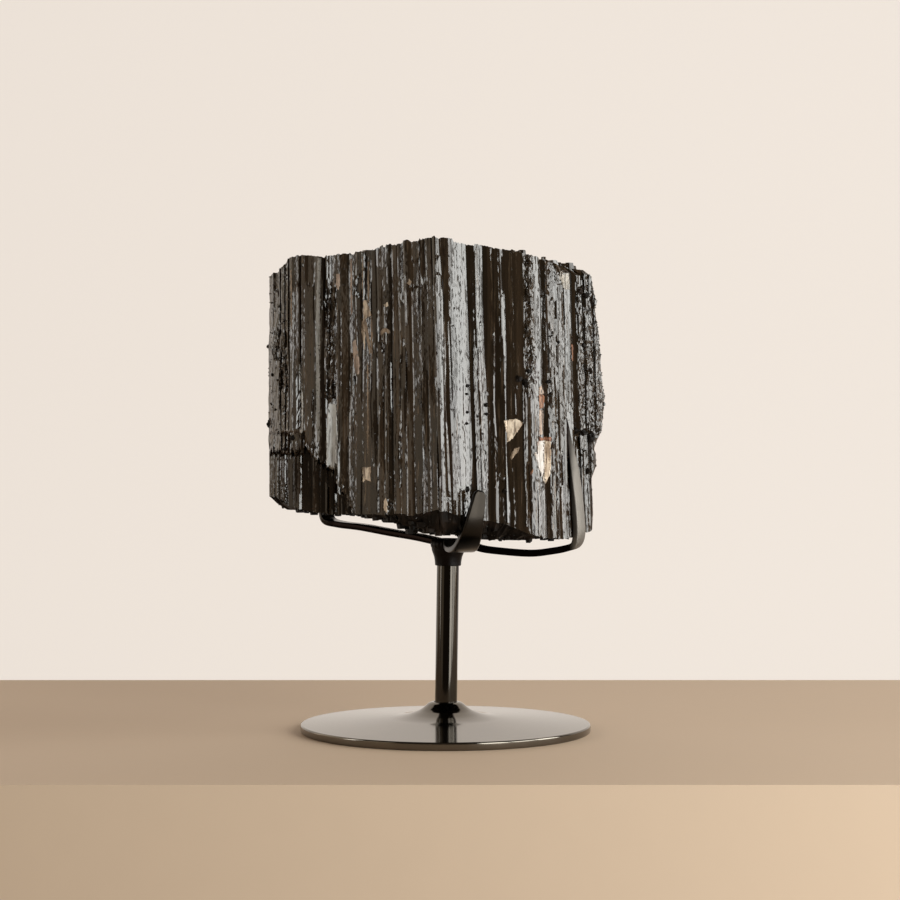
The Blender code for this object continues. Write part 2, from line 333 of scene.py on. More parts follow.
@dataclass(frozen=True)
class CrystalFace(Finish):
    """Glassy black crystal, grooved along its length, with dust in the grooves.

    Its patterns are drawn out along the crystal by their runs. The mesh says
    how crusted and dusty each place is, and where the broken foot is, which is
    darkened to near-black as painted shade.
    """

    name: str = "tourmaline_face"
    black: Colour = (0.0095, 0.0058, 0.0028)
    brown: Colour = (0.064, 0.040, 0.0225)
    dust: Colour = (0.27, 0.18, 0.108)
    # Near-black of the broken foot, painted shade.
    broken: Colour = (0.002, 0.0013, 0.0008)
    groove_run: Point = (1.0, 1.0, 0.022)
    hairline_run: Point = (1.0, 1.0, 0.012)
    band_run: Point = (1.0, 1.0, 0.008)
    index: float = 1.66

    def sockets(self, desk: Desk) -> dict[str, object]:
        """Wire up the crystal.

        Args:
            desk: The material's desk.

        Returns:
            Values or wires by socket name.
        """
        place = self.place(desk)
        crusty = self.kept(desk, "crust")
        dusty = self.kept(desk, "dust")
        shaded_foot = self.kept(desk, "foot")
        grooves = desk.noise(desk.stretched(place, self.groove_run), 780.0, 4.0, 0.62)
        hairlines = desk.noise(desk.stretched(place, self.hairline_run), 2500.0, 3.0, 0.6)
        bands = desk.noise(desk.stretched(place, self.band_run), 330.0)
        broken = desk.noise(desk.stretched(place, (1.0, 1.0, 0.16)), 420.0, 4.0, 0.65)
        cloudy = desk.noise(desk.stretched(place, (1.0, 1.0, 0.35)), 60.0)
        cracks = desk.noise(desk.stretched(place, (0.35, 0.35, 1.0)), 640.0, 3.0, 0.6)
        pits = desk.cells(desk.stretched(place, (1.0, 1.0, 0.45)), 900.0)
        grit = desk.noise(place, 1500.0, 4.0, 0.7)

        browned = (cloudy.above(0.42, 0.62) * 0.35 + bands.above(0.46, 0.60) * 0.65) * (0.25 + 0.75 * dusty)
        powder = grooves.above(0.54, 0.66) * broken.above(0.45, 0.60) * (0.08 + 0.92 * dusty)
        scuffs = hairlines.above(0.60, 0.70) * broken.above(0.5, 0.6) * (0.25 + 0.55 * dusty)
        colour = desk.mixed(browned, opaque(self.black), opaque(self.brown))
        colour = desk.mixed(powder * 0.65, colour, opaque(self.dust))
        colour = desk.mixed(scuffs * 0.5, colour, opaque(self.dust))
        # Painted shade: the broken foot is darkened to near-black.
        colour = desk.mixed(shaded_foot * 0.75, colour, opaque(self.broken))

        rough = 0.08 + 0.04 * grooves + 0.25 * powder + 0.12 * dusty * cloudy + 0.45 * shaded_foot
        normal = desk.bump(grooves * (0.07 + 0.25 * dusty), 0.00022, 0.7)
        normal = desk.bump(hairlines * (0.25 + 0.5 * dusty), 0.00004, 0.5, normal)
        split = cracks.above(0.60, 0.74) * broken.above(0.5, 0.62) * (0.1 + 0.35 * dusty)
        normal = desk.bump(split, 0.0002, 0.4, normal)
        chips = pits.above(0.05, 0.4) * (0.03 + crusty * 0.97)
        normal = desk.bump(chips, 0.00026, 0.8, normal)
        normal = desk.bump(grit * (0.2 + 0.6 * dusty), 0.00006, 0.4, normal)
        return {
            "Base Color": colour,
            "Roughness": rough,
            "IOR": self.index,
            "Normal": normal,
        }


@dataclass(frozen=True)
class CrustGlass(Finish):
    """Small glassy black grains that crust the crystal."""

    name: str = "tourmaline_crust"
    black: Colour = (0.008, 0.0052, 0.003)
    brown: Colour = (0.028, 0.019, 0.011)
    index: float = 1.66

    def sockets(self, desk: Desk) -> dict[str, object]:
        """Wire up the grains.

        Args:
            desk: The material's desk.

        Returns:
            Values or wires by socket name.
        """
        place = self.place(desk)
        cloudy = desk.noise(place, 160.0, 3.0)
        grit = desk.noise(place, 1900.0, 3.0, 0.6)
        colour = desk.mixed(cloudy.above(0.4, 0.65), opaque(self.black), opaque(self.brown))
        rough = 0.10 + 0.30 * cloudy.above(0.42, 0.7)
        return {
            "Base Color": colour,
            "Roughness": rough,
            "IOR": self.index,
            "Normal": desk.bump(grit, 0.00012, 0.5),
        }


@dataclass(frozen=True)
class BlackBreakAndShade(Finish):
    """Rough black break across the crystals, which shines little.

    On the stone's foot its near-black colour is also painted shade of the hollow
    under the stone.
    """

    name: str = "tourmaline_break_and_shade"
    black: Colour = (0.0035, 0.0022, 0.0013)
    brown: Colour = (0.014, 0.008, 0.0045)
    index: float = 1.24

    def sockets(self, desk: Desk) -> dict[str, object]:
        """Wire up the break.

        Args:
            desk: The material's desk.

        Returns:
            Values or wires by socket name.
        """
        place = self.place(desk)
        cloudy = desk.noise(place, 120.0, 3.0)
        grit = desk.noise(place, 1400.0, 3.0, 0.6)
        return {
            "Base Color": desk.mixed(cloudy.above(0.45, 0.7), opaque(self.black), opaque(self.brown)),
            "Roughness": 0.42 + 0.25 * grit,
            "IOR": self.index,
            "Normal": desk.bump(grit, 0.00015, 0.6),
        }


@dataclass(frozen=True)
class PaleMineral(Finish):
    """Pale or stained mineral left between the crystals, veined along them; slate and silver are pale grey
    painted sheen.
    """

    name: str
    pale: Colour
    deep: Colour
    stain: Colour

    def sockets(self, desk: Desk) -> dict[str, object]:
        """Wire up the mineral.

        Args:
            desk: The material's desk.

        Returns:
            Values or wires by socket name.
        """
        place = self.place(desk)
        cloudy = desk.noise(desk.stretched(place, (1.0, 1.0, 0.4)), 260.0, 4.0, 0.65)
        veins = desk.noise(desk.stretched(place, (1.0, 1.0, 0.07)), 900.0, 3.0, 0.6)
        grit = desk.noise(place, 1700.0, 4.0, 0.7)
        colour = desk.mixed(cloudy.above(0.38, 0.66), opaque(self.pale), opaque(self.deep))
        colour = desk.mixed(veins.above(0.53, 0.64) * 0.8, colour, opaque(self.stain))
        normal = desk.bump(cloudy, 0.0007, 0.7)
        normal = desk.bump(grit, 0.00018, 0.6, normal)
        return {
            "Base Color": colour,
            "Roughness": 0.42 + 0.3 * cloudy,
            "Normal": normal,
        }


@dataclass(frozen=True)
class Plaster(Finish):
    """Matt paint of the floor and backdrop."""

    name: str
    colour: Colour
    glow: Colour

    def sockets(self, desk: Desk) -> dict[str, object]:
        """Wire up the paint.

        Args:
            desk: The material's desk.

        Returns:
            Values or wires by socket name.
        """
        grain = desk.noise(self.place(desk), 60.0, 3.0)
        lighter = tuple(min(1.0, part * 1.03) for part in self.colour)
        return {
            "Base Color": desk.mixed(grain, opaque(self.colour), opaque(lighter)),
            "Roughness": 0.7 + 0.1 * grain,
            "Emission Color": opaque(self.glow),
            "Emission Strength": 1.0,
            "Normal": desk.bump(grain, 0.0004, 0.2),
        }


# ---------------- meshes


def add_piece(name: str, mesh: bpy.types.Mesh, finish: Finish) -> Piece:
    """Link a mesh into the scene with its finish.

    Args:
        name: The piece's name.
        mesh: Its mesh, in metres.
        finish: Its finish.

    Returns:
        The object, at the origin.
    """
    mesh.name = name
    mesh.materials.clear()
    mesh.materials.append(finish.material())
    piece = bpy.data.objects.new(name, mesh)
    bpy.context.scene.collection.objects.link(piece)
    return piece


def mesh_of(points: Array, faces: Sequence[Corners], sharp_deg: float | None) -> bpy.types.Mesh:
    """Make a mesh from points in millimetres.

    Args:
        points: Rows of x, y and z in millimetres.
        faces: Corner indices of each face, outwards.
        sharp_deg: Angle above which an edge stays sharp, or None for flat faces.

    Returns:
        The mesh, in metres.
    """
    mesh = bpy.data.meshes.new("piece")
    mesh.from_pydata((np.asarray(points) * MM).tolist(), [], faces)
    mesh.validate()
    if sharp_deg is not None:
        mesh.polygons.foreach_set("use_smooth", [True] * len(mesh.polygons))
        mesh.set_sharp_from_angle(angle=math.radians(sharp_deg))
    return mesh


def keep(mesh: bpy.types.Mesh, name: str, values: Array) -> None:
    """Keep a number for each point of a mesh, as an attribute."""
    attribute = mesh.attributes.new(name, "FLOAT", "POINT")
    attribute.data.foreach_set("value", np.asarray(values, dtype=np.float32))


def eased(value: Array | float, low: float, high: float) -> Array:
    """Smooth step from 0 at low to 1 at high."""
    t = np.clip((np.asarray(value, dtype=float) - low) / (high - low), 0.0, 1.0)
    return t * t * (3.0 - 2.0 * t)


def spline(points: Sequence[Sequence[float]], steps: int) -> list[tuple[float, ...]]:
    """Sample a Catmull-Rom curve through points of any dimension.

    Args:
        points: The points that the curve passes through.
        steps: Samples for each span.

    Returns:
        The samples, the last point included.
    """
    samples: list[tuple[float, ...]] = []
    last = len(points) - 1
    for index in range(last):
        four = (points[max(index - 1, 0)], points[index], points[index + 1], points[min(index + 2, last)])
        for step in range(steps):
            t = step / steps
            samples.append(tuple(
                0.5 * (
                    2 * b + (c - a) * t + (2 * a - 5 * b + 4 * c - d) * t ** 2
                    + (3 * b - a - 3 * c + d) * t ** 3
                )
                for a, b, c, d in zip(*four)
            ))
    samples.append(tuple(points[last]))
    return samples


def arc(centre: Pair, radius: float, start: float, end: float, steps: int) -> list[Pair]:
    """Points of an arc from its start to its end angle, in degrees, in steps chords."""
    angles = np.radians(np.linspace(start, end, steps + 1))
    return [(centre[0] + radius * math.cos(a), centre[1] + radius * math.sin(a)) for a in angles]


def stitched(outer: int, outer_count: int, inner: int, inner_count: int, upwards: bool) -> list[Corners]:
    """Faces between two rings, the inner with as many points or half of them.

    Args:
        outer: First index of the outer ring.
        outer_count: Its number of points.
        inner: First index of the inner ring.
        inner_count: Its number of points.
        upwards: Whether the faces look up.

    Returns:
        The faces.
    """
    faces: list[Corners] = []
    for step in range(inner_count):
        after = (step + 1) % inner_count
        if outer_count == inner_count:
            faces.append((outer + step, outer + after, inner + after, inner + step))
            continue
        first, middle = 2 * step, 2 * step + 1
        last = (2 * step + 2) % outer_count
        faces.append((outer + first, outer + middle, inner + step))
        faces.append((outer + middle, outer + last, inner + after))
        faces.append((outer + middle, inner + after, inner + step))
    return faces if upwards else [tuple(reversed(face)) for face in faces]


def turned(profile: Sequence[Pair], steps: int, sharp_deg: float) -> bpy.types.Mesh:
    """Turn a profile about the upright axis.

    Args:
        profile: Radius and height from the axis at the top round to the axis at the foot.
        steps: How many sides the turning has.
        sharp_deg: Angle above which an edge stays sharp.

    Returns:
        The closed mesh.
    """
    angles = np.linspace(0.0, 2.0 * math.pi, steps, endpoint=False)
    rings = [(r * np.cos(angles), r * np.sin(angles), np.full(steps, z)) for r, z in profile[1:-1]]
    points = [np.stack(ring, axis=1) for ring in rings]
    points.append(np.array([[0.0, 0.0, profile[0][1]], [0.0, 0.0, profile[-1][1]]]))
    top = len(rings) * steps
    faces: list[Corners] = []
    for side in range(steps):
        after = (side + 1) % steps
        faces.append((top, side, after))
        for ring in range(len(rings) - 1):
            upper, lower = ring * steps, (ring + 1) * steps
            faces.append((upper + side, lower + side, lower + after, upper + after))
        last = (len(rings) - 1) * steps
        faces.append((last + after, last + side, top + 1))
    return mesh_of(np.concatenate(points), faces, sharp_deg)


# ---------------- stand


@dataclass
class Base:
    """Turned disc that flares up to the neck of the post's socket."""

    radius: float = 75.0
    rim_height: float = 4.2
    rim_rounding: float = 0.9
    neck_radius: float = 7.4
    neck_height: float = 15.2
    socket_radius: float = 6.05
    socket_floor: float = 5.0
    socket_lip: float = 0.3
    flare: tuple[Pair, ...] = (
        (8.8, 14.5), (10.5, 13.1), (12.6, 11.5), (15.0, 10.3), (19.5, 8.8), (26.0, 7.6), (34.0, 6.9),
        (48.0, 5.9), (62.0, 4.95),
    )
    flare_end: float = 73.5
    sides: int = 256

    def profile(self) -> list[Pair]:
        """Radius and height from the socket's floor over the flare to the underside.

        Returns:
            The profile's points.
        """
        neck = (self.neck_radius, self.neck_height)
        flare = (neck, *self.flare, (self.flare_end, self.rim_height))
        socket = [
            (0.0, self.socket_floor),
            (self.socket_radius, self.socket_floor),
            (self.socket_radius, self.neck_height - self.socket_lip),
            (self.socket_radius + self.socket_lip, self.neck_height),
        ]
        edge = self.radius - self.rim_rounding
        top_edge = arc((edge, self.rim_height - self.rim_rounding), self.rim_rounding, 90.0, 0.0, 7)
        foot_edge = arc((edge, self.rim_rounding), self.rim_rounding, 0.0, -90.0, 5)
        return socket + spline(flare, 8) + top_edge + foot_edge + [(0.0, 0.0)]

    def build(self) -> Piece:
        """Make the disc in place of its solid.

        Returns:
            The disc.
        """
        finish = SatinNickel(name="base_nickel", roughness=0.11)
        piece = add_piece("base_disc", turned(self.profile(), self.sides, 40.0), finish)
        return seated(piece, METAL_SLOT, "base")


@dataclass
class Post:
    """Rod and ferrule that carry the arms, leaning a little to the right."""

    radius: float = 5.75
    foot: float = 5.3
    top: float = 91.5
    lean: float = math.radians(0.85)
    ferrule_foot: float = 85.7
    ferrule_foot_radius: float = 6.75
    ferrule_rim: float = 96.0
    ferrule_radius: float = 8.8
    boss_radius: float = 6.2
    boss_top: float = 99.4
    gap: float = 0.3
    chamfer: float = 0.5
    ripples: int = 23
    ripple: float = 0.014
    sides: int = 128
    plating: SatinNickel = SatinNickel(
        "post_nickel", (0.048, 0.043, 0.037), (0.06, 0.054, 0.047), 0.085, (1.0, 1.0, 0.05)
    )
    # Near-black and barely shining: the ferrule's blacking, darkened further as painted shade of its
    # underside; the weld bead shares it.
    blacking_and_shade: SatinNickel = SatinNickel("ferrule_black_and_shade", BLACK_AND_SHADE, BLACK_AND_SHADE, 0.4, metallic=0.0, index=1.18)

    def leaned(self, mesh: bpy.types.Mesh) -> bpy.types.Mesh:
        """Lean a mesh that was turned about the upright axis, as the post leans."""
        mesh.transform(Matrix.Rotation(self.lean, 4, "Y"))
        return mesh

    def rod(self) -> Piece:
        """Make the rod with its chamfers.

        Returns:
            The rod.
        """
        heights = np.linspace(self.foot + self.chamfer, self.top - self.chamfer, 12)
        side = [(self.radius, z) for z in reversed(heights)]
        end = self.radius - self.chamfer
        profile = [(0.0, self.top), (end, self.top), *side, (end, self.foot), (0.0, self.foot)]
        piece = add_piece("post_rod", self.leaned(turned(profile, self.sides, 35.0)), self.plating)
        return seated(piece, METAL_SLOT, "post")

    def ferrule(self) -> Piece:
        """Make the half-ball ferrule with its boss and bore.

        Returns:
            The ferrule.
        """
        rim = (self.ferrule_radius, self.ferrule_rim - 0.5)
        foot = (self.ferrule_foot_radius, self.ferrule_foot + 0.3)
        ball = (rim, (8.45, 93.4), (7.9, 91.9), (7.3, 90.2), (6.9, 88.0), foot)
        bore = self.radius + self.gap
        roof = self.top + self.gap
        profile = [
            (0.0, self.boss_top),
            (self.boss_radius - 0.6, self.boss_top),
            (self.boss_radius - 0.15, self.boss_top - 0.18),
            (self.boss_radius, self.boss_top - 0.6),
            (self.boss_radius, self.ferrule_rim),
            (self.ferrule_radius - 0.4, self.ferrule_rim),
            (self.ferrule_radius - 0.1, self.ferrule_rim - 0.15),
            *spline(ball, 6),
            (self.ferrule_foot_radius - 0.3, self.ferrule_foot),
            (bore, self.ferrule_foot),
            (bore, roof),
            (0.0, roof),
        ]
        piece = add_piece("ferrule_cup", self.leaned(turned(profile, self.sides, 35.0)), self.blacking_and_shade)
        return seated(piece, METAL_SLOT, "ferrule")

    def weld(self) -> Piece:
        """Make the rippled bead that joins the arms to the ferrule's rim.

        Returns:
            The bead.
        """
        profile = [
            (0.0, 99.7), (7.0, 99.7), (8.1, 99.3), (8.9, 98.3), (9.2, 97.1), (9.1, 95.9), (8.8, 95.1),
            (8.3, 94.9), (0.0, 94.9),
        ]
        mesh = turned(profile, self.sides, 50.0)
        for vertex in mesh.vertices:
            bearing = math.atan2(vertex.co.y, vertex.co.x)
            swell = 1.0 + self.ripple * math.cos(self.ripples * bearing)
            vertex.co.x *= swell
            vertex.co.y *= swell
        return seated(add_piece("weld_bead", self.leaned(mesh), self.blacking_and_shade), METAL_SLOT)


@dataclass(frozen=True)
class Station:
    """One place along a bar: its middle, its width and the bearing of the width."""

    x: float
    y: float
    z: float
    width: float
    bearing: float

    def row(self) -> tuple[float, ...]:
        """The station as plain numbers."""
        return (self.x, self.y, self.z, self.width, self.bearing)


@dataclass
class Arm:
    """Flat bar with softened edges along stations from the ferrule to its tip.

    Near the ferrule it is painted near-black, as shade, over the reaches given to
    its finish. Over tip_run below its tip it thins from thickness to tip_thickness,
    and end_share of that is left at its very end.
    """

    node: str
    stations: Sequence[Station]
    # Each bar has its own plating colour, lighter or darker than the others, as painted light and shade for
    # how light falls on it.
    colour: Colour
    roughness: float = 0.2
    # Reaches, in metres, of the painted near-black shade near the ferrule.
    painted_shade_reach: Pair = (0.070, 0.080)
    tip_thickness: float = 1.4
    tip_run: float = 40.0
    thickness: float = 3.4
    end_share: float = 0.45
    edge: float = 0.75
    steps: int = 7
    corner_steps: int = 3

    def section(self, width: float, thickness: float) -> list[Pair]:
        """Rounded rectangle across the bar.

        Args:
            width: Its long side.
            thickness: Its short side.

        Returns:
            Points across and through the bar.
        """
        largest = 0.45
        edge = min(self.edge, width * largest, thickness * largest)
        corners = ((1, 1, 0.0), (-1, 1, 90.0), (-1, -1, 180.0), (1, -1, 270.0))
        points: list[Pair] = []
        for right, up, start in corners:
            centre = (right * (width / 2.0 - edge), up * (thickness / 2.0 - edge))
            points += arc(centre, edge, start, start + 90.0, self.corner_steps)
        return points

    def build(self) -> Piece:
        """Sweep the section along the stations in place of the arm's solid.

        Returns:
            The bar.
        """
        rows = spline([station.row() for station in self.stations], self.steps)
        middles = [Vector(row[:3]) for row in rows]
        rings: list[list[Vector]] = []
        for index, row in enumerate(rows):
            ahead = middles[min(index + 1, len(rows) - 1)] - middles[max(index - 1, 0)]
            ahead.normalize()
            angle = math.radians(row[4])
            across = Vector((math.cos(angle), math.sin(angle), 0.0))
            across = (across - ahead * across.dot(ahead)).normalized()
            through = ahead.cross(across)
            from_end = (len(rows) - 1 - index) / self.steps
            thin = min(1.0, self.end_share + (1.0 - self.end_share) * from_end)
            below_tip = min(1.0, (rows[-1][2] - row[2]) / self.tip_run)
            thickness = self.tip_thickness + (self.thickness - self.tip_thickness) * below_tip
            ring = self.section(row[3], thickness * thin)
            rings.append([middles[index] + across * a + through * b for a, b in ring])
        count = len(rings[0])
        points = [point for ring in rings for point in ring]
        faces: list[Corners] = []
        for row in range(len(rings) - 1):
            faces += stitched(row * count, count, (row + 1) * count, count, True)
        faces.append(tuple(reversed(range(count))))
        faces.append(tuple(range((len(rings) - 1) * count, len(rings) * count)))
        mesh = mesh_of(np.array([tuple(point) for point in points]), faces, 35.0)
        finish = SatinNickel(
            name=f"{self.node}_nickel",
            colour=self.colour,
            worn=self.colour,
            roughness=self.roughness,
            painted_shade_reach=self.painted_shade_reach,
        )
        return seated(add_piece(f"{self.node}_bar", mesh, finish), METAL_SLOT, self.node)


@dataclass
class Cradle:
    """The three arms, spread from the ferrule's boss."""

    post: Post = field(default_factory=Post)
    level: float = 98.0
    width: float = 8.0

    @property
    def start(self) -> float:
        """Reach at which an arm starts, just clear of the boss."""
        return self.post.boss_radius + self.post.gap + 0.6

    @property
    def near(self) -> float:
        """Reach at which an arm is clear of the ferrule's rim."""
        return self.post.ferrule_radius + 0.9

    def out(self, bearing: float, reach: float) -> Pair:
        """Plan point at a reach from the boss along a bearing."""
        hub, angle = math.sin(self.post.lean) * self.post.ferrule_rim, math.radians(bearing)
        return hub + reach * math.cos(angle), reach * math.sin(angle)

    def run(self, bearing: float, turn: float, steps: Sequence[Pair]) -> list[Station]:
        """Stations of a flat run on one bearing, by reach and height, their width turned from it."""
        return [Station(*self.out(bearing, reach), z, self.width, bearing + turn) for reach, z in steps]

    def left(self) -> Arm:
        """Long bar to the back left, lying flat against the stone's back.

        Returns:
            The arm.
        """
        flat = ((self.start, self.level), (20.0, 99.9), (38.0, 101.8), (58.0, 104.2), (74.0, 105.4))
        stations = self.run(141.5, -90.0, flat)
        stations += [
            Station(-63.2, 50.4, 107.4, self.width, 35.0),
            Station(-65.0, 51.2, 113.0, self.width, 20.0),
            Station(-65.4, 49.0, 122.0, 7.6, 17.0),
            Station(-65.2, 47.9, 138.0, 6.4, 17.0),
            Station(-64.8, 47.7, 152.0, 4.4, 17.0),
            Station(-64.6, 47.7, 158.5, 3.0, 17.0),
            Station(-64.5, 47.7, 161.0, 1.2, 17.0),
        ]
        # Near-black painted shade over the flat run under the stone.
        return Arm("left_arm", stations, (0.03, 0.026, 0.023), painted_shade_reach=(0.076, 0.084))

    def right(self) -> Arm:
        """Long bar to the right, turned up into a tapering blade.

        Returns:
            The arm.
        """
        flat = (
            (self.start, self.level), (self.near, self.level), (17.0, 94.8), (27.0, 93.4), (43.0, 92.4),
            (54.0, 93.6), (62.0, 95.2),
        )
        stations = self.run(-10.5, 90.0, flat)
        stations += [
            Station(66.9, -14.2, 97.4, self.width, 66.0),
            Station(68.2, -16.2, 103.0, 7.2, 50.0),
            Station(67.9, -16.6, 111.0, 7.0, 48.0),
            Station(66.9, -16.9, 122.0, 6.8, 46.0),
            Station(65.1, -18.6, 136.0, 6.2, 46.0),
            Station(62.9, -20.6, 148.0, 4.2, 46.0),
            Station(61.5, -22.0, 158.0, 2.6, 46.0),
            Station(61.1, -22.3, 161.5, 1.2, 46.0),
        ]
        # Painted light: a much lighter plating colour than the other bars, for the light on the upright
        # blade; near-black painted shade over the flat run under the stone.
        return Arm("right_arm", stations, (0.185, 0.171, 0.155), 0.6, (0.0655, 0.069))

    def front(self) -> Arm:
        """Short broad prong that turns up into a rounded leaf.

        Returns:
            The arm.
        """
        steps = (
            (-77.5, self.start, self.level, 8.6, 12.5),
            (-77.5, self.near, self.level, 9.6, 12.5),
            (-77.5, 14.0, 97.0, 11.2, 12.5),
            (-77.5, 22.0, 95.6, 13.0, 14.0),
            (-77.5, 32.0, 95.6, 13.2, 16.0),
            (-77.5, 42.0, 98.0, 12.6, 18.0),
            (-77.3, 50.9, 104.0, 11.0, 20.0),
            (-76.2, 54.8, 112.0, 9.0, 22.0),
            (-74.6, 54.9, 119.0, 7.4, 24.0),
            (-73.7, 54.4, 123.0, 6.2, 25.0),
            (-73.3, 54.3, 124.8, 4.4, 25.0),
            (-73.1, 54.3, 125.6, 2.2, 25.0),
        )
        stations = [Station(*self.out(b, reach), z, w, twist) for b, reach, z, w, twist in steps]
        # Painted shade: the darkest plating colour of the bars, and near-black painted shade near the
        # ferrule.
        return Arm("front_arm", stations, (0.025, 0.0215, 0.018), 0.30, (0.038, 0.056), tip_thickness=3.0)

    def build(self) -> list[Piece]:
        """Make the three arms."""
        return [arm.build() for arm in (self.left(), self.right(), self.front())]


def seated(piece: Piece, slot: str, *nodes: str) -> Piece:
    """Ride a piece on the body, in place of solids if any are named.

    Args:
        piece: The piece.
        slot: Not used.
        *nodes: Solids that it stands for.

    Returns:
        The piece.
    """
    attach(piece, BODY)
    if nodes:
        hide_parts(*nodes)
    log.info("%s: %d faces", piece.name, len(piece.data.polygons))
    return piece


# ---------------- stone


@dataclass(frozen=True)
class Growth:
    """How a crystal face grew: its grooving, its breaks, its crust and its dust."""

    jitter_deg: float
    block_mm: float
    crust: float
    dust: float
    scars: float


class Grown(Enum):
    """Kinds of crystal face on the stone."""

    GLASSY = Growth(3.5, 60.0, 0.0, 0.0, 0.25)
    POLISHED = Growth(1.0, 150.0, 0.0, 0.0, 0.0)
    BROWN = Growth(2.0, 90.0, 0.02, 0.60, 0.8)
    DARK = Growth(2.6, 90.0, 0.03, 0.25, 0.6)
    STRIATED = Growth(11.0, 26.0, 0.07, 0.4, 0.8)
    RIBBED = Growth(16.0, 40.0, 0.05, 0.2, 0.8)
    DULL = Growth(13.0, 18.0, 0.2, 0.85, 0.9)
    SPARKLY = Growth(19.0, 4.0, 0.6, 0.2, 0.3)
    CRUSTED = Growth(17.0, 9.0, 0.5, 0.15, 0.2)
    PITTED = Growth(12.0, 5.0, 0.9, 0.5, 0.2)
    FLAT = Growth(2.8, 44.0, 0.16, 0.35, 0.6)
    GROOVE = Growth(7.0, 34.0, 0.0, 0.1, 0.1)
    SHADED = Growth(2.6, 46.0, 0.0, 0.15, 0.15)


BACK_MIX: Mapping[Grown, float] = {
    Grown.GLASSY: 0.24,
    Grown.STRIATED: 0.34,
    Grown.DULL: 0.18,
    Grown.GROOVE: 0.08,
    Grown.SPARKLY: 0.10,
    Grown.CRUSTED: 0.06,
}


@dataclass(frozen=True)
class Face:
    """One upright face of the stone in its plan.

    The face is width across and looks along facing, in degrees from the front
    towards the right. Between from_z and to_z it grew as grown, and elsewhere
    as other, with fade for the change on each side.
    """

    width: float
    facing: float
    grown: Grown
    from_z: float = 0.0
    to_z: float = 999.0
    other: Grown = Grown.STRIATED
    fade: float = 3.0

    def share(self, z: Array) -> Array:
        """How far the face grew in its own way at each height."""
        begun = eased(z, self.from_z - self.fade, self.from_z + self.fade)
        return begun * (1.0 - eased(z, self.to_z - self.fade, self.to_z + self.fade))


@dataclass(frozen=True)
class Tread:
    """One crystal of the recess under the left ledge, seen from the front."""

    left: float
    right: float
    depth: float
    facing: float


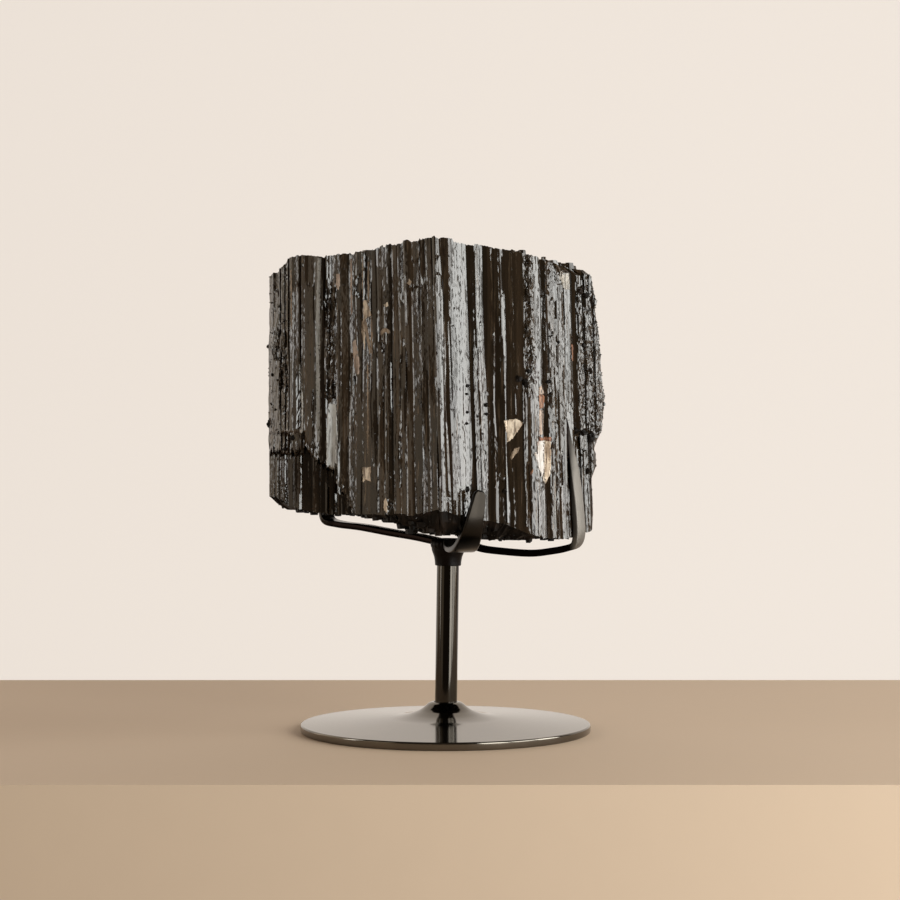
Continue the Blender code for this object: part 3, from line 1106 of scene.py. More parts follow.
@dataclass
class Stone:
    """Aggregate of parallel crystals: upright striated faces and broken ends.

    Its plan starts at the front corner. The faces there and to both sides are
    given one by one, and the back is split into crystals of uneven width. Each
    face is made of upright columns. The tops and feet give the height of the
    front and back edges over x, the right edge the furthest x over height, and
    the ledge the rim of the recess at the lower left over x.
    """

    seed: int = 7
    corner: Pair = (-2.6, -58.0)
    centre: Pair = (-2.0, 2.0)
    column: float = 0.72
    row: float = 1.3
    span: Pair = (90.0, 265.0)
    wanders: tuple[Pair, Pair] = ((26.0, 0.42), (22.0, 0.2))
    wander_rows: int = 700
    notching: Pair = (11.0, 0.3)
    jagged: float = 0.7
    foot_zone: float = 128.0
    top_zone: float = 228.0
    foot_rows: int = 16
    middle_rows: int = 80
    top_rows: int = 13
    rim_share: float = 0.52
    crust_foot: float = 154.5
    recess_right: float = -46.5
    notch_left: float = -72.0
    notch_height: float = 155.4
    crust_left: float = 64.0
    back_width: float = 4.6
    ring_multiple: int = 16

    right_faces: tuple[Face, ...] = (
        Face(3.0, 42, Grown.GLASSY), Face(1.6, 26, Grown.STRIATED), Face(2.1, 2, Grown.SHADED),
        Face(3.6, 37, Grown.STRIATED), Face(8.1, 44, Grown.GLASSY), Face(5.0, 1, Grown.SHADED),
        Face(4.3, 42, Grown.STRIATED), Face(4.7, 2, Grown.SHADED), Face(4.7, 1, Grown.SHADED),
        Face(1.4, 42, Grown.GLASSY), Face(10.2, 2, Grown.SHADED),
        Face(3.3, 10, Grown.SPARKLY, 172, 245), Face(2.6, 44, Grown.SPARKLY, 178, 245),
        Face(3.6, 44, Grown.GLASSY), Face(10.0, 84, Grown.SHADED), Face(3.1, 0, Grown.SHADED),
        Face(4.4, 22, Grown.DULL), Face(5.2, 36, Grown.RIBBED), Face(4.8, 84, Grown.STRIATED),
        Face(5.0, 40, Grown.RIBBED), Face(3.6, 84, Grown.GROOVE), Face(3.4, 0, Grown.SHADED),
        Face(3.4, 42, Grown.CRUSTED, 156, 228), Face(2.2, 4, Grown.CRUSTED, 156, 228),
        Face(4.4, 48, Grown.CRUSTED, 152, 230), Face(2.0, 10, Grown.CRUSTED, 152, 230),
        Face(5.4, 60, Grown.CRUSTED, 152, 229), Face(7.0, 74, Grown.CRUSTED, 154, 220),
        Face(9.4, 86, Grown.CRUSTED, 156, 214),
    )
    left_faces: tuple[Face, ...] = (
        Face(0.7, -10, Grown.SHADED), Face(1.8, -39, Grown.GLASSY), Face(0.4, -84, Grown.SHADED),
        Face(3.6, -27, Grown.BROWN), Face(0.9, -39, Grown.GLASSY), Face(2.3, -22, Grown.DARK),
        Face(1.3, -38, Grown.BROWN), Face(0.4, -84, Grown.SHADED), Face(4.7, -28, Grown.BROWN),
        Face(2.4, -17, Grown.DARK), Face(1.7, -39, Grown.BROWN), Face(0.5, -84, Grown.SHADED),
        Face(1.8, -20, Grown.DARK), Face(1.9, -32, Grown.BROWN), Face(3.5, -27, Grown.BROWN),
        Face(0.6, -84, Grown.SHADED), Face(3.3, -15, Grown.DARK), Face(1.3, -39, Grown.GLASSY),
        Face(0.6, -84, Grown.SHADED), Face(2.6, -19, Grown.DARK), Face(1.6, -39, Grown.GLASSY),
        Face(2.5, -26, Grown.BROWN), Face(0.7, -84, Grown.SHADED), Face(5.9, -30, Grown.BROWN),
        Face(0.5, -84, Grown.SHADED), Face(4.0, -29, Grown.BROWN), Face(3.8, -32, Grown.BROWN),
        Face(0.6, -84, Grown.SHADED), Face(4.7, -17, Grown.DARK), Face(2.9, -28, Grown.BROWN),
        Face(3.1, -39, Grown.SPARKLY, 176, 228), Face(2.6, 8, Grown.SPARKLY, 172, 226),
        Face(5.6, -84, Grown.SHADED), Face(2.8, -4, Grown.SHADED), Face(3.7, -39, Grown.POLISHED),
        Face(4.5, -24, Grown.BROWN), Face(4.5, -30, Grown.BROWN), Face(4.1, -26, Grown.BROWN),
        Face(4.8, -50, Grown.DARK), Face(7.9, -52, Grown.PITTED, 176, 206, Grown.FLAT),
        Face(7.1, -64, Grown.PITTED, 192, 209, Grown.FLAT), Face(7.9, -68, Grown.FLAT),
    )
    back_corners: tuple[Pair, ...] = (
        (82.0, 17.0), (74.5, 24.0), (76.0, 33.0), (62.5, 40.0), (57.0, 48.5), (40.5, 52.5),
        (34.0, 58.5), (14.0, 56.5), (8.0, 60.5), (-12.0, 59.5), (-18.0, 54.5), (-36.0, 56.0),
        (-47.0, 50.5), (-60.0, 46.5), (-73.0, 42.5), (-83.0, 34.5), (-88.0, 24.0),
    )
    front_top: tuple[Pair, ...] = (
        (-92.0, 237.0), (-88.0, 239.5), (-80.6, 244.6), (-73.0, 246.0), (-62.0, 244.6), (-41.0, 246.0),
        (-34.6, 246.4), (-30.0, 248.4), (-15.0, 250.0), (-5.6, 250.9), (-2.6, 250.9), (6.2, 250.0),
        (11.7, 249.0), (19.9, 247.5), (28.7, 246.2), (40.2, 243.8), (46.7, 242.6), (56.7, 241.4),
        (57.6, 237.0), (63.6, 236.6), (73.0, 236.2), (80.6, 235.6),
    )
    back_top: tuple[Pair, ...] = (
        (-88.0, 236.2), (-73.0, 238.0), (-47.0, 240.6), (-18.0, 241.2), (14.0, 240.2), (40.5, 239.0),
        (62.5, 236.0), (82.0, 233.0),
    )
    front_foot: tuple[Pair, ...] = (
        (-92.0, 121.3), (-80.6, 116.4), (-73.1, 114.0), (-60.0, 112.0), (-41.0, 112.8), (-15.0, 112.8),
        (-5.6, 115.5), (0.8, 114.0), (6.2, 112.5), (11.7, 110.5), (19.9, 110.2), (28.7, 108.0),
        (40.2, 103.5), (50.2, 100.6), (57.0, 99.4), (63.4, 100.2), (74.6, 103.0), (80.6, 103.8),
    )
    back_foot: tuple[Pair, ...] = (
        (-88.0, 119.5), (-73.0, 114.0), (-47.0, 109.5), (-18.0, 105.5), (14.0, 102.6), (40.5, 102.0),
        (62.5, 102.4), (82.0, 104.5),
    )
    right_edge: tuple[Pair, ...] = (
        (99.0, 74.4), (114.0, 75.2), (131.0, 74.4), (137.0, 77.4), (143.0, 77.2), (146.0, 76.0),
        (152.0, 78.6), (158.0, 80.6), (173.0, 81.6), (185.0, 79.8), (196.0, 79.4), (209.0, 78.1),
        (217.0, 76.2), (223.0, 77.2), (228.0, 75.4), (238.0, 73.9),
    )
    ledge: tuple[Pair, ...] = (
        (-93.0, 144.5), (-78.0, 144.0), (-71.0, 145.0), (-67.3, 141.4), (-62.6, 137.9), (-56.0, 134.0),
        (-53.6, 126.0), (-49.0, 120.5), (-46.5, 109.0),
    )
    treads: tuple[Tread, ...] = (
        Tread(-95.0, -88.0, 4.2, -50.0), Tread(-88.0, -83.4, 4.8, -26.0),
        Tread(-83.4, -81.6, 3.4, 12.0), Tread(-81.6, -78.2, 6.2, -16.0),
        Tread(-78.2, -75.6, 6.6, -20.0), Tread(-75.6, -73.8, 4.6, 22.0), Tread(-73.8, -68.2, 7.4, -6.0),
        Tread(-68.2, -64.0, 6.8, -12.0), Tread(-64.0, -59.6, 7.2, 4.0), Tread(-59.6, -56.6, 5.4, 0.0),
        Tread(-56.6, -54.4, 4.6, 24.0), Tread(-54.4, -50.5, 5.4, -10.0),
        Tread(-50.5, -45.0, 3.2, -18.0),
    )

    def __post_init__(self) -> None:
        """Lay out the plan."""
        self.random = np.random.default_rng(self.seed)
        self.corners, self.faces = self.plan()

    def plan(self) -> tuple[Array, list[Face]]:
        """Walk the faces round the stone.

        Returns:
            The corner that each face starts at, and the faces, from the front corner to the right.
        """
        right = self.walked(self.right_faces, 1.0)
        left = self.walked(self.left_faces, -1.0)
        corners = right[:-1]
        faces = list(self.right_faces)
        back_run = [right[-1], *[np.array(corner) for corner in self.back_corners[1:]], left[-1]]
        for start, end in zip(back_run, back_run[1:]):
            for part_start, part_end in self.split(start, end):
                corners.append(part_start)
                faces.append(self.back_face(part_start, part_end))
        corners += list(reversed(left[1:]))
        faces += list(reversed(self.left_faces))
        return np.array(corners), faces

    def walked(self, faces: Sequence[Face], side: float) -> list[Array]:
        """Corners of a run of faces from the front corner.

        Args:
            faces: The faces in order.
            side: 1 to the right, -1 to the left.

        Returns:
            The corners, the front corner first.
        """
        corners = [np.array(self.corner)]
        for face in faces:
            facing = math.radians(face.facing)
            step = side * face.width * np.array([math.cos(facing), math.sin(facing)])
            corners.append(corners[-1] + step)
        return corners

    def split(self, start: Array, end: Array) -> list[tuple[Array, Array]]:
        """Split a side of the back into crystals of uneven width.

        Args:
            start: The side's first corner.
            end: Its last corner.

        Returns:
            Each crystal's two corners.
        """
        length = float(np.linalg.norm(end - start))
        count = max(1, round(length / self.back_width))
        cuts = np.sort(self.random.uniform(0.08, 0.92, count - 1))
        stops = [0.0, *cuts, 1.0]
        outward = np.array([(end - start)[1], -(end - start)[0]]) / length
        points = []
        for stop in stops:
            inside = 0.0 < stop < 1.0
            shift = self.random.uniform(-1.8, 0.4) if inside else 0.0
            points.append(start + (end - start) * stop + outward * shift)
        return list(zip(points, points[1:]))

    def back_face(self, start: Array, end: Array) -> Face:
        """Choose how a face that is away from the front grew.

        Args:
            start: Its first corner.
            end: Its last corner.

        Returns:
            The face.
        """
        kind = tuple(BACK_MIX)[self.random.choice(len(BACK_MIX), p=tuple(BACK_MIX.values()))]
        low = self.random.uniform(100.0, 190.0)
        high = low + self.random.uniform(30.0, 110.0)
        return Face(float(np.linalg.norm(end - start)), 180.0, kind, low, high)

    def drift(self, z: Array, wave: float, amount: float) -> Array:
        """Slow random wander over the heights z, which turns every wave and spreads by amount."""
        stops = np.arange(*self.span, wave)
        return np.interp(z, stops, self.random.normal(0.0, amount, len(stops)))

    def blocks(self, rows: int, block: float, spread: float) -> Array:
        """Random values that hold for a run of rows and then change at once.

        Args:
            rows: How many rows.
            block: Mean length of a run, in rows.
            spread: Spread of the values.

        Returns:
            A value a row.
        """
        values = np.empty(rows)
        row = 0
        while row < rows:
            run = max(1, int(self.random.exponential(block)))
            values[row:row + run] = self.random.normal(0.0, spread)
            row += run
        return values

    def heights(self, x: float, y: float, jag: float) -> Array:
        """Heights of a column's points.

        Args:
            x: The column's place in the plan.
            y: The column's place in the plan.
            jag: How far its ends are broken short.

        Returns:
            The heights from foot to top.
        """
        back = float(eased(y, 5.0, 25.0))
        tops = [np.interp(x, *zip(*table)) for table in (self.front_top, self.back_top)]
        feet = [np.interp(x, *zip(*table)) for table in (self.front_foot, self.back_foot)]
        top = tops[0] + (tops[1] - tops[0]) * back - jag
        foot = feet[0] + (feet[1] - feet[0]) * back + jag * 0.7
        return np.concatenate((
            np.linspace(foot, self.foot_zone, self.foot_rows, endpoint=False),
            np.linspace(self.foot_zone, self.top_zone, self.middle_rows, endpoint=False),
            np.linspace(self.top_zone, top, self.top_rows + 1),
        ))

    def grooves(self, face: Face, count: int, width: float, share: Array) -> Array:
        """Relief of a face's grooves.

        Args:
            face: The face.
            count: How many columns it has.
            width: Its width.
            share: How far it grew in its own way at each row.

        Returns:
            The relief at the end of each column, by column and row.
        """
        reliefs = []
        rows = len(share)
        unbroken = 200.0
        for growth in (face.grown.value, face.other.value):
            block = growth.block_mm / self.row
            slopes = []
            for _ in range(count):
                slopes.append(self.blocks(rows, unbroken, 0.7) + self.blocks(rows, block, 0.75))
            reliefs.append(np.stack(slopes) * math.tan(math.radians(growth.jitter_deg)))
        mixed = reliefs[0] * share + reliefs[1] * (1.0 - share)
        mixed -= mixed.mean(axis=0)
        return np.cumsum(mixed, axis=0) * width / count

    def side_points(self) -> tuple[Array, Array, Array]:
        """Points of the upright sides.

        Returns:
            Points by row and column, and their crust and dust.
        """
        columns: list[Array] = []
        crusts: list[Array] = []
        dusts: list[Array] = []
        counts = [max(2, round(face.width / self.column)) for face in self.faces]
        back = (len(self.right_faces), len(self.faces) - len(self.left_faces))
        while sum(counts) % self.ring_multiple:
            counts[int(self.random.integers(*back))] += 1
        axis = np.linspace(*self.span, self.wander_rows)
        wander = [[self.drift(axis, wave, amount) for wave, amount in self.wanders] for _ in self.faces]
        fresh_jag, stagger, fray = 0.35, 0.25, 0.3
        # The last is the share of dust taken away under the ledge, giving a darker colour there as painted
        # shade of the recess.
        seam_relief, seam_bite, seam_depth, under_ledge_shade = 0.6, 0.8, 0.05, 0.7
        jag = 0.0
        for index, face in enumerate(self.faces):
            start, end = self.corners[index], self.corners[(index + 1) % len(self.faces)]
            width = float(np.linalg.norm(end - start))
            along = (end - start) / width
            outward = np.array([along[1], -along[0]])
            growth = face.grown.value
            other = face.other.value
            calm = min(1.0, growth.jitter_deg / other.jitter_deg)
            count = counts[index]
            middle = (start + end) / 2.0
            share = face.share(self.heights(float(middle[0]), float(middle[1]), 0.0))
            relief = self.grooves(face, count, width, share)
            scars = self.scars(growth.scars)
            notch = self.blocks(len(share), *self.notching)
            if index % 2 == 0 or self.random.random() < fresh_jag:
                jag = abs(self.random.normal(0.0, self.jagged))
            for step in range(count):
                across = step / count + (self.random.uniform(-stagger, stagger) / count if step else 0.0)
                place = start + (end - start) * across
                extra = abs(self.random.normal(0.0, fray))
                z = self.heights(float(place[0]), float(place[1]), jag + extra)
                offset = self.scarred(z, scars, across)
                if step:
                    offset = offset + relief[step - 1]
                else:
                    offset = offset * seam_relief - np.abs(notch) * seam_bite * calm - seam_depth
                slide, shove = (
                    np.interp(z, axis, first) * (1 - across) + np.interp(z, axis, second) * across
                    for first, second in zip(wander[index], wander[(index + 1) % len(self.faces)])
                )
                plan = place + along * slide[:, None] + outward * (offset + shove)[:, None]
                points, sunk = self.shaped(plan, z, place)
                columns.append(points)
                crusts.append((growth.crust * share + other.crust * (1.0 - share)) * (1.0 - sunk))
                # Painted shade: less dust under the ledge makes the recess darker.
                dusts.append((growth.dust * share + other.dust * (1.0 - share)) * (1.0 - under_ledge_shade * sunk))
        points = np.stack(columns, axis=1)
        crust = np.stack(crusts, axis=1)
        dust = np.stack(dusts, axis=1)
        return self.lumped(points, crust), crust, dust

    def scars(self, often: float) -> list[tuple[float, ...]]:
        """Choose the places where a face has broken away.

        Args:
            often: Mean number of broken places.

        Returns:
            The middle, half height, slant and depth of each.
        """
        found = []
        for _ in range(int(self.random.poisson(often))):
            middle = self.random.choice((self.random.uniform(110, 240), self.random.uniform(228, 250)))
            half = self.random.uniform(1.5, 13.0)
            found.append((middle, half, self.random.normal(0.0, 3.0), self.random.uniform(0.25, 0.9)))
        return found

    def scarred(self, z: Array, scars: Sequence[tuple[float, ...]], across: float) -> Array:
        """Depth of a face's broken places along one column.

        Args:
            z: The column's heights.
            scars: The face's broken places.
            across: The column's place across the face, 0 to 1.

        Returns:
            The depth at each height, 0 or below.
        """
        depth = np.zeros(len(z))
        for middle, half, slant, deep in scars:
            rim = half + self.random.normal(0.0, 1.1)
            gap = np.abs(z - middle - slant * (across - 0.5) * 2.0) - rim
            depth -= deep * (1.0 - eased(gap, -0.6, 0.6))
        return depth

    def shaped(self, plan: Array, z: Array, place: Array) -> tuple[Array, Array]:
        """Cut the ledges into a column and lean it.

        Args:
            plan: The column's x and y at each height.
            z: The heights.
            place: The column's undisturbed place in the plan.

        Returns:
            The column's points, and how far each is sunk under a ledge.
        """
        x, y = plan[:, 0].copy(), plan[:, 1].copy()
        sunk = np.zeros(len(z))
        left, base = float(place[0]), float(place[1])
        recess_back, lip_height, lip_proud, notch_depth = 14.0, 2.2, 0.6, 1.3
        crust_back, undercut, fade_run = 34.0, 3.2, 5.0
        if base < recess_back and left < self.recess_right:
            rim = np.interp(left, *zip(*self.ledge)) + self.random.normal(0.0, 0.8)
            sunk = 1.0 - eased(z, rim - 0.8, rim + 0.5)
            tread = next(tread for tread in self.treads if left < tread.right)
            across = left - (tread.left + tread.right) / 2.0
            slope = math.tan(math.radians(tread.facing))
            step = self.surface(tread) + tread.depth + across * slope - base
            lip = np.exp(-((z - rim - lip_height) / lip_height) ** 2)
            y += step * sunk - lip_proud * lip * (1.0 - sunk)
            if left < self.notch_left:
                low = self.notch_height - 1.3 + self.random.normal(0.0, 0.9)
                outer = 1.0 - eased(z, low, self.notch_height)
                y += notch_depth * outer * (1.0 - sunk)
        if left > self.crust_left and base < crust_back:
            edge = self.crust_foot + self.random.normal(0.0, 1.6)
            below = 1.0 - eased(z, edge - 0.8, edge + 0.8)
            x -= undercut * below * float(eased(left, self.crust_left, self.crust_left + fade_run))
        x = x + leaning(x, z)
        if left > self.crust_left:
            limit = np.interp(z, *zip(*self.right_edge)) + self.random.normal(0.0, 0.15)
            x = np.where(x > limit, limit + 0.2 * (x - limit), x)
        return np.stack((x, y, z), axis=1), sunk

    def surface(self, tread: Tread) -> float:
        """How far back the front stands over the middle of a tread.

        Args:
            tread: The tread.

        Returns:
            The place, in the plan's y.
        """
        corners = self.corners[-len(self.left_faces):]
        middle = (tread.left + tread.right) / 2.0
        order = np.argsort(corners[:, 0])
        return float(np.interp(middle, corners[order, 0], corners[order, 1]))

    def lumped(self, points: Array, crust: Array) -> Array:
        """Roughen the sides where they are crusted.

        Args:
            points: Points by row and column.
            crust: How crusted each point is.

        Returns:
            The roughened points.
        """
        fine = self.random.normal(0.0, 1.0, crust.shape)
        soft = self.random.normal(0.0, 1.0, crust.shape)
        for _ in range(2):
            soft = (soft + np.roll(soft, 1, 1) + np.roll(soft, -1, 1)) / 1.8
            soft[1:-1] = (soft[1:-1] + soft[:-2] + soft[2:]) / 1.8
        ahead = np.roll(points, -1, 1)[..., :2] - np.roll(points, 1, 1)[..., :2]
        outward = np.stack((ahead[..., 1], -ahead[..., 0]), axis=-1)
        outward /= np.linalg.norm(outward, axis=-1, keepdims=True) + 1e-9
        worn, tooth, deepest, proudest = 0.15, 0.02, -1.3, 0.9
        push = crust * (0.14 * fine + 0.34 * soft - worn) + tooth * fine
        push = np.clip(push, deepest, proudest)
        points[..., :2] += outward * push[..., None]
        return points

    def end_rings(self, edge: Array, height: Relief) -> list[Array]:
        """Rings of a broken end, from just inside its edge to near its middle.

        Args:
            edge: The last row of the sides.
            height: The end's own surface over the plan.

        Returns:
            The rings, each with as many points as the last or half of them.
        """
        steps = (
            (1, 0.985, 0.15), (2, 0.955, 0.5), (4, 0.91, 0.85), (4, 0.86, 1.0), (4, 0.80, 1.0),
            (4, 0.73, 1.0), (8, 0.66, 1.0), (8, 0.58, 1.0), (8, 0.50, 1.0), (8, 0.42, 1.0),
            (8, 0.33, 1.0), (16, 0.22, 1.0), (16, 0.10, 1.0),
        )
        scatter = 0.3
        rings = []
        for every, shrink, share in steps:
            outer = edge[::every]
            plan = self.centre + (outer[:, :2] - self.centre) * shrink
            plan = plan + self.random.normal(0.0, scatter, plan.shape) * (every > 1)
            z = outer[:, 2] + (height(plan[:, 0], plan[:, 1]) - outer[:, 2]) * share
            rings.append(np.column_stack((plan, z)))
        return rings

    def broken(self, low: float, high: float, cell: float) -> Relief:
        """Uneven heights of crystals that broke off at different lengths.

        Args:
            low: Lowest shift.
            high: Highest shift.
            cell: Size of a crystal.

        Returns:
            A function of the plan that gives the shift.
        """
        area = 180.0 * 130.0
        count = int(area / cell ** 2)
        seeds = self.random.uniform((-95.0, -65.0), (90.0, 70.0), (count, 2))
        shifts = self.random.uniform(low, high, count)
        tilts = self.random.normal(0.0, 0.12, (count, 2))

        def shift(x: Array, y: Array) -> Array:
            """Shift of the nearest crystal's end.

            Args:
                x: Places in the plan.
                y: Places in the plan.

            Returns:
                The shift at each place.
            """
            place = np.column_stack((x, y))
            gaps = np.linalg.norm(place[:, None, :] - seeds[None, :, :], axis=2)
            nearest = gaps.argmin(axis=1)
            slope = ((place - seeds[nearest]) * tilts[nearest]).sum(axis=1)
            return shifts[nearest] + slope

        return shift

    def underside(self) -> Relief:
        """The broken foot's height over the plan.

        Returns:
            A function of the plan.
        """
        shift = self.broken(-0.4, 3.0, 7.0)

        left_foot, fall, step, rise = 112.6, 9.6, 2.4, 4.0

        def height(x: Array, y: Array) -> Array:
            """Height of the foot at places in the plan."""
            lower = left_foot - fall * eased(x, -48.0, 2.0) - step * eased(x, 6.0, 22.0)
            return lower + rise * eased(x, 55.0, 78.0) + shift(x, y)

        return height

    def crown(self) -> Relief:
        """The broken top's height over the plan.

        Returns:
            A function of the plan.
        """
        shift = self.broken(-5.5, -1.0, 8.0)

        peak, side_fall, back_fall = 246.0, 0.05, 6.0

        def height(x: Array, y: Array) -> Array:
            """Height of the top at places in the plan."""
            return peak - side_fall * np.abs(x) - back_fall * eased(y, -20.0, 50.0) + shift(x, y)

        return height

    def build(self) -> Piece:
        """Make the stone's skin in place of its solid.

        Each square of the sides is cut on the other diagonal from its neighbours,
        so that the cuts don't line up into a slanted grain.

        Returns:
            The skin, with its crust, dust and broken ends kept on its points.
        """
        sides, crust, dust = self.side_points()
        rows, count = crust.shape
        faces: list[Corners] = []
        for row in range(rows - 1):
            low, high = row * count, (row + 1) * count
            for i in range(count):
                after = (i + 1) % count
                quad = (low + i, low + after, high + after, high + i)
                faces.append(quad[1:] + quad[:1] if (row + i) % 2 else quad)
        points = [sides.reshape(-1, 3)]
        total = rows * count
        for edge_row, height, upwards in ((0, self.underside(), False), (rows - 1, self.crown(), True)):
            outer, outer_count = edge_row * count, count
            rings = self.end_rings(sides[edge_row], height)
            for ring in rings:
                points.append(ring)
                faces += stitched(outer, outer_count, total, len(ring), upwards)
                outer, outer_count = total, len(ring)
                total += len(ring)
            points.append(rings[-1].mean(axis=0, keepdims=True))
            fan = [(outer + i, outer + (i + 1) % outer_count, total) for i in range(outer_count)]
            faces += fan if upwards else [tuple(reversed(face)) for face in fan]
            total += 1
        mesh = mesh_of(np.concatenate(points), faces, None)
        half = (total - rows * count) // 2
        ends_crust, ends_dust = 0.1, 0.4
        keep(mesh, "crust", np.concatenate((crust.ravel(), np.full(2 * half, ends_crust))))
        keep(mesh, "dust", np.concatenate((dust.ravel(), np.full(2 * half, ends_dust))))
        sides_none, end_none = np.zeros(rows * count), np.zeros(half)
        inner = np.arange(half) >= self.rim_share * half
        # The foot mark drives the painted shade of the broken foot in the crystal finish.
        keep(mesh, "foot", np.concatenate((sides_none, np.ones(half), end_none)))
        keep(mesh, "foot_inside", np.concatenate((sides_none, inner, end_none)))
        keep(mesh, "top_inside", np.concatenate((sides_none, end_none, inner)))
        piece = add_piece("tourmaline_skin", mesh, CrystalFace())
        # The broken foot takes the near-black break finish, as painted shade of the hollow under the stone.
        mesh.materials.append(BlackBreakAndShade().material())
        first, last = rows * count, rows * count + half
        sides_faces = (rows - 1) * count
        slots = np.zeros(len(mesh.polygons), dtype=np.int32)
        highest = np.array([max(polygon.vertices) for polygon in mesh.polygons[sides_faces:]])
        slots[sides_faces:] = (highest >= first) & (highest < last)
        mesh.polygons.foreach_set("material_index", slots)
        return seated(piece, STONE_SLOT, "tourmaline")


def leaning(x: Array | float, z: Array | float) -> Array:
    """How far the crystals' lean shifts a place from middle height to its own."""
    lean, middle = 0.028, 175.0
    return lean * eased(x, -45.0, 5.0) * (middle - z)


# ---------------- growths on the stone


class Probe:
    """Finds the stone's surface behind a point seen from the front."""

    before: float = -120.0
    missed: float = -30.0

    def __init__(self, skin: Piece) -> None:
        """Take the surface of the stone's skin.

        Args:
            skin: The stone's skin.
        """
        mesh = skin.data
        points = [vertex.co / MM for vertex in mesh.vertices]
        self.tree = BVHTree.FromPolygons(points, [tuple(face.vertices) for face in mesh.polygons])

    def depth(self, x: float, z: float) -> float:
        """How far back the surface is at a place seen from the front."""
        hit = self.tree.ray_cast(Vector((x, self.before, z)), Vector((0.0, 1.0, 0.0)))[0]
        return self.missed if hit is None else hit.y


@dataclass(frozen=True)
class Splinter:
    """A slim crystal on the stone's side, with its edges at middle height."""

    left: float
    right: float
    foot: float
    top: float
    facing: float
    proud: float = 0.4
    slant: float = 0.0
    crust: float = 0.05
    dust: float = 0.2


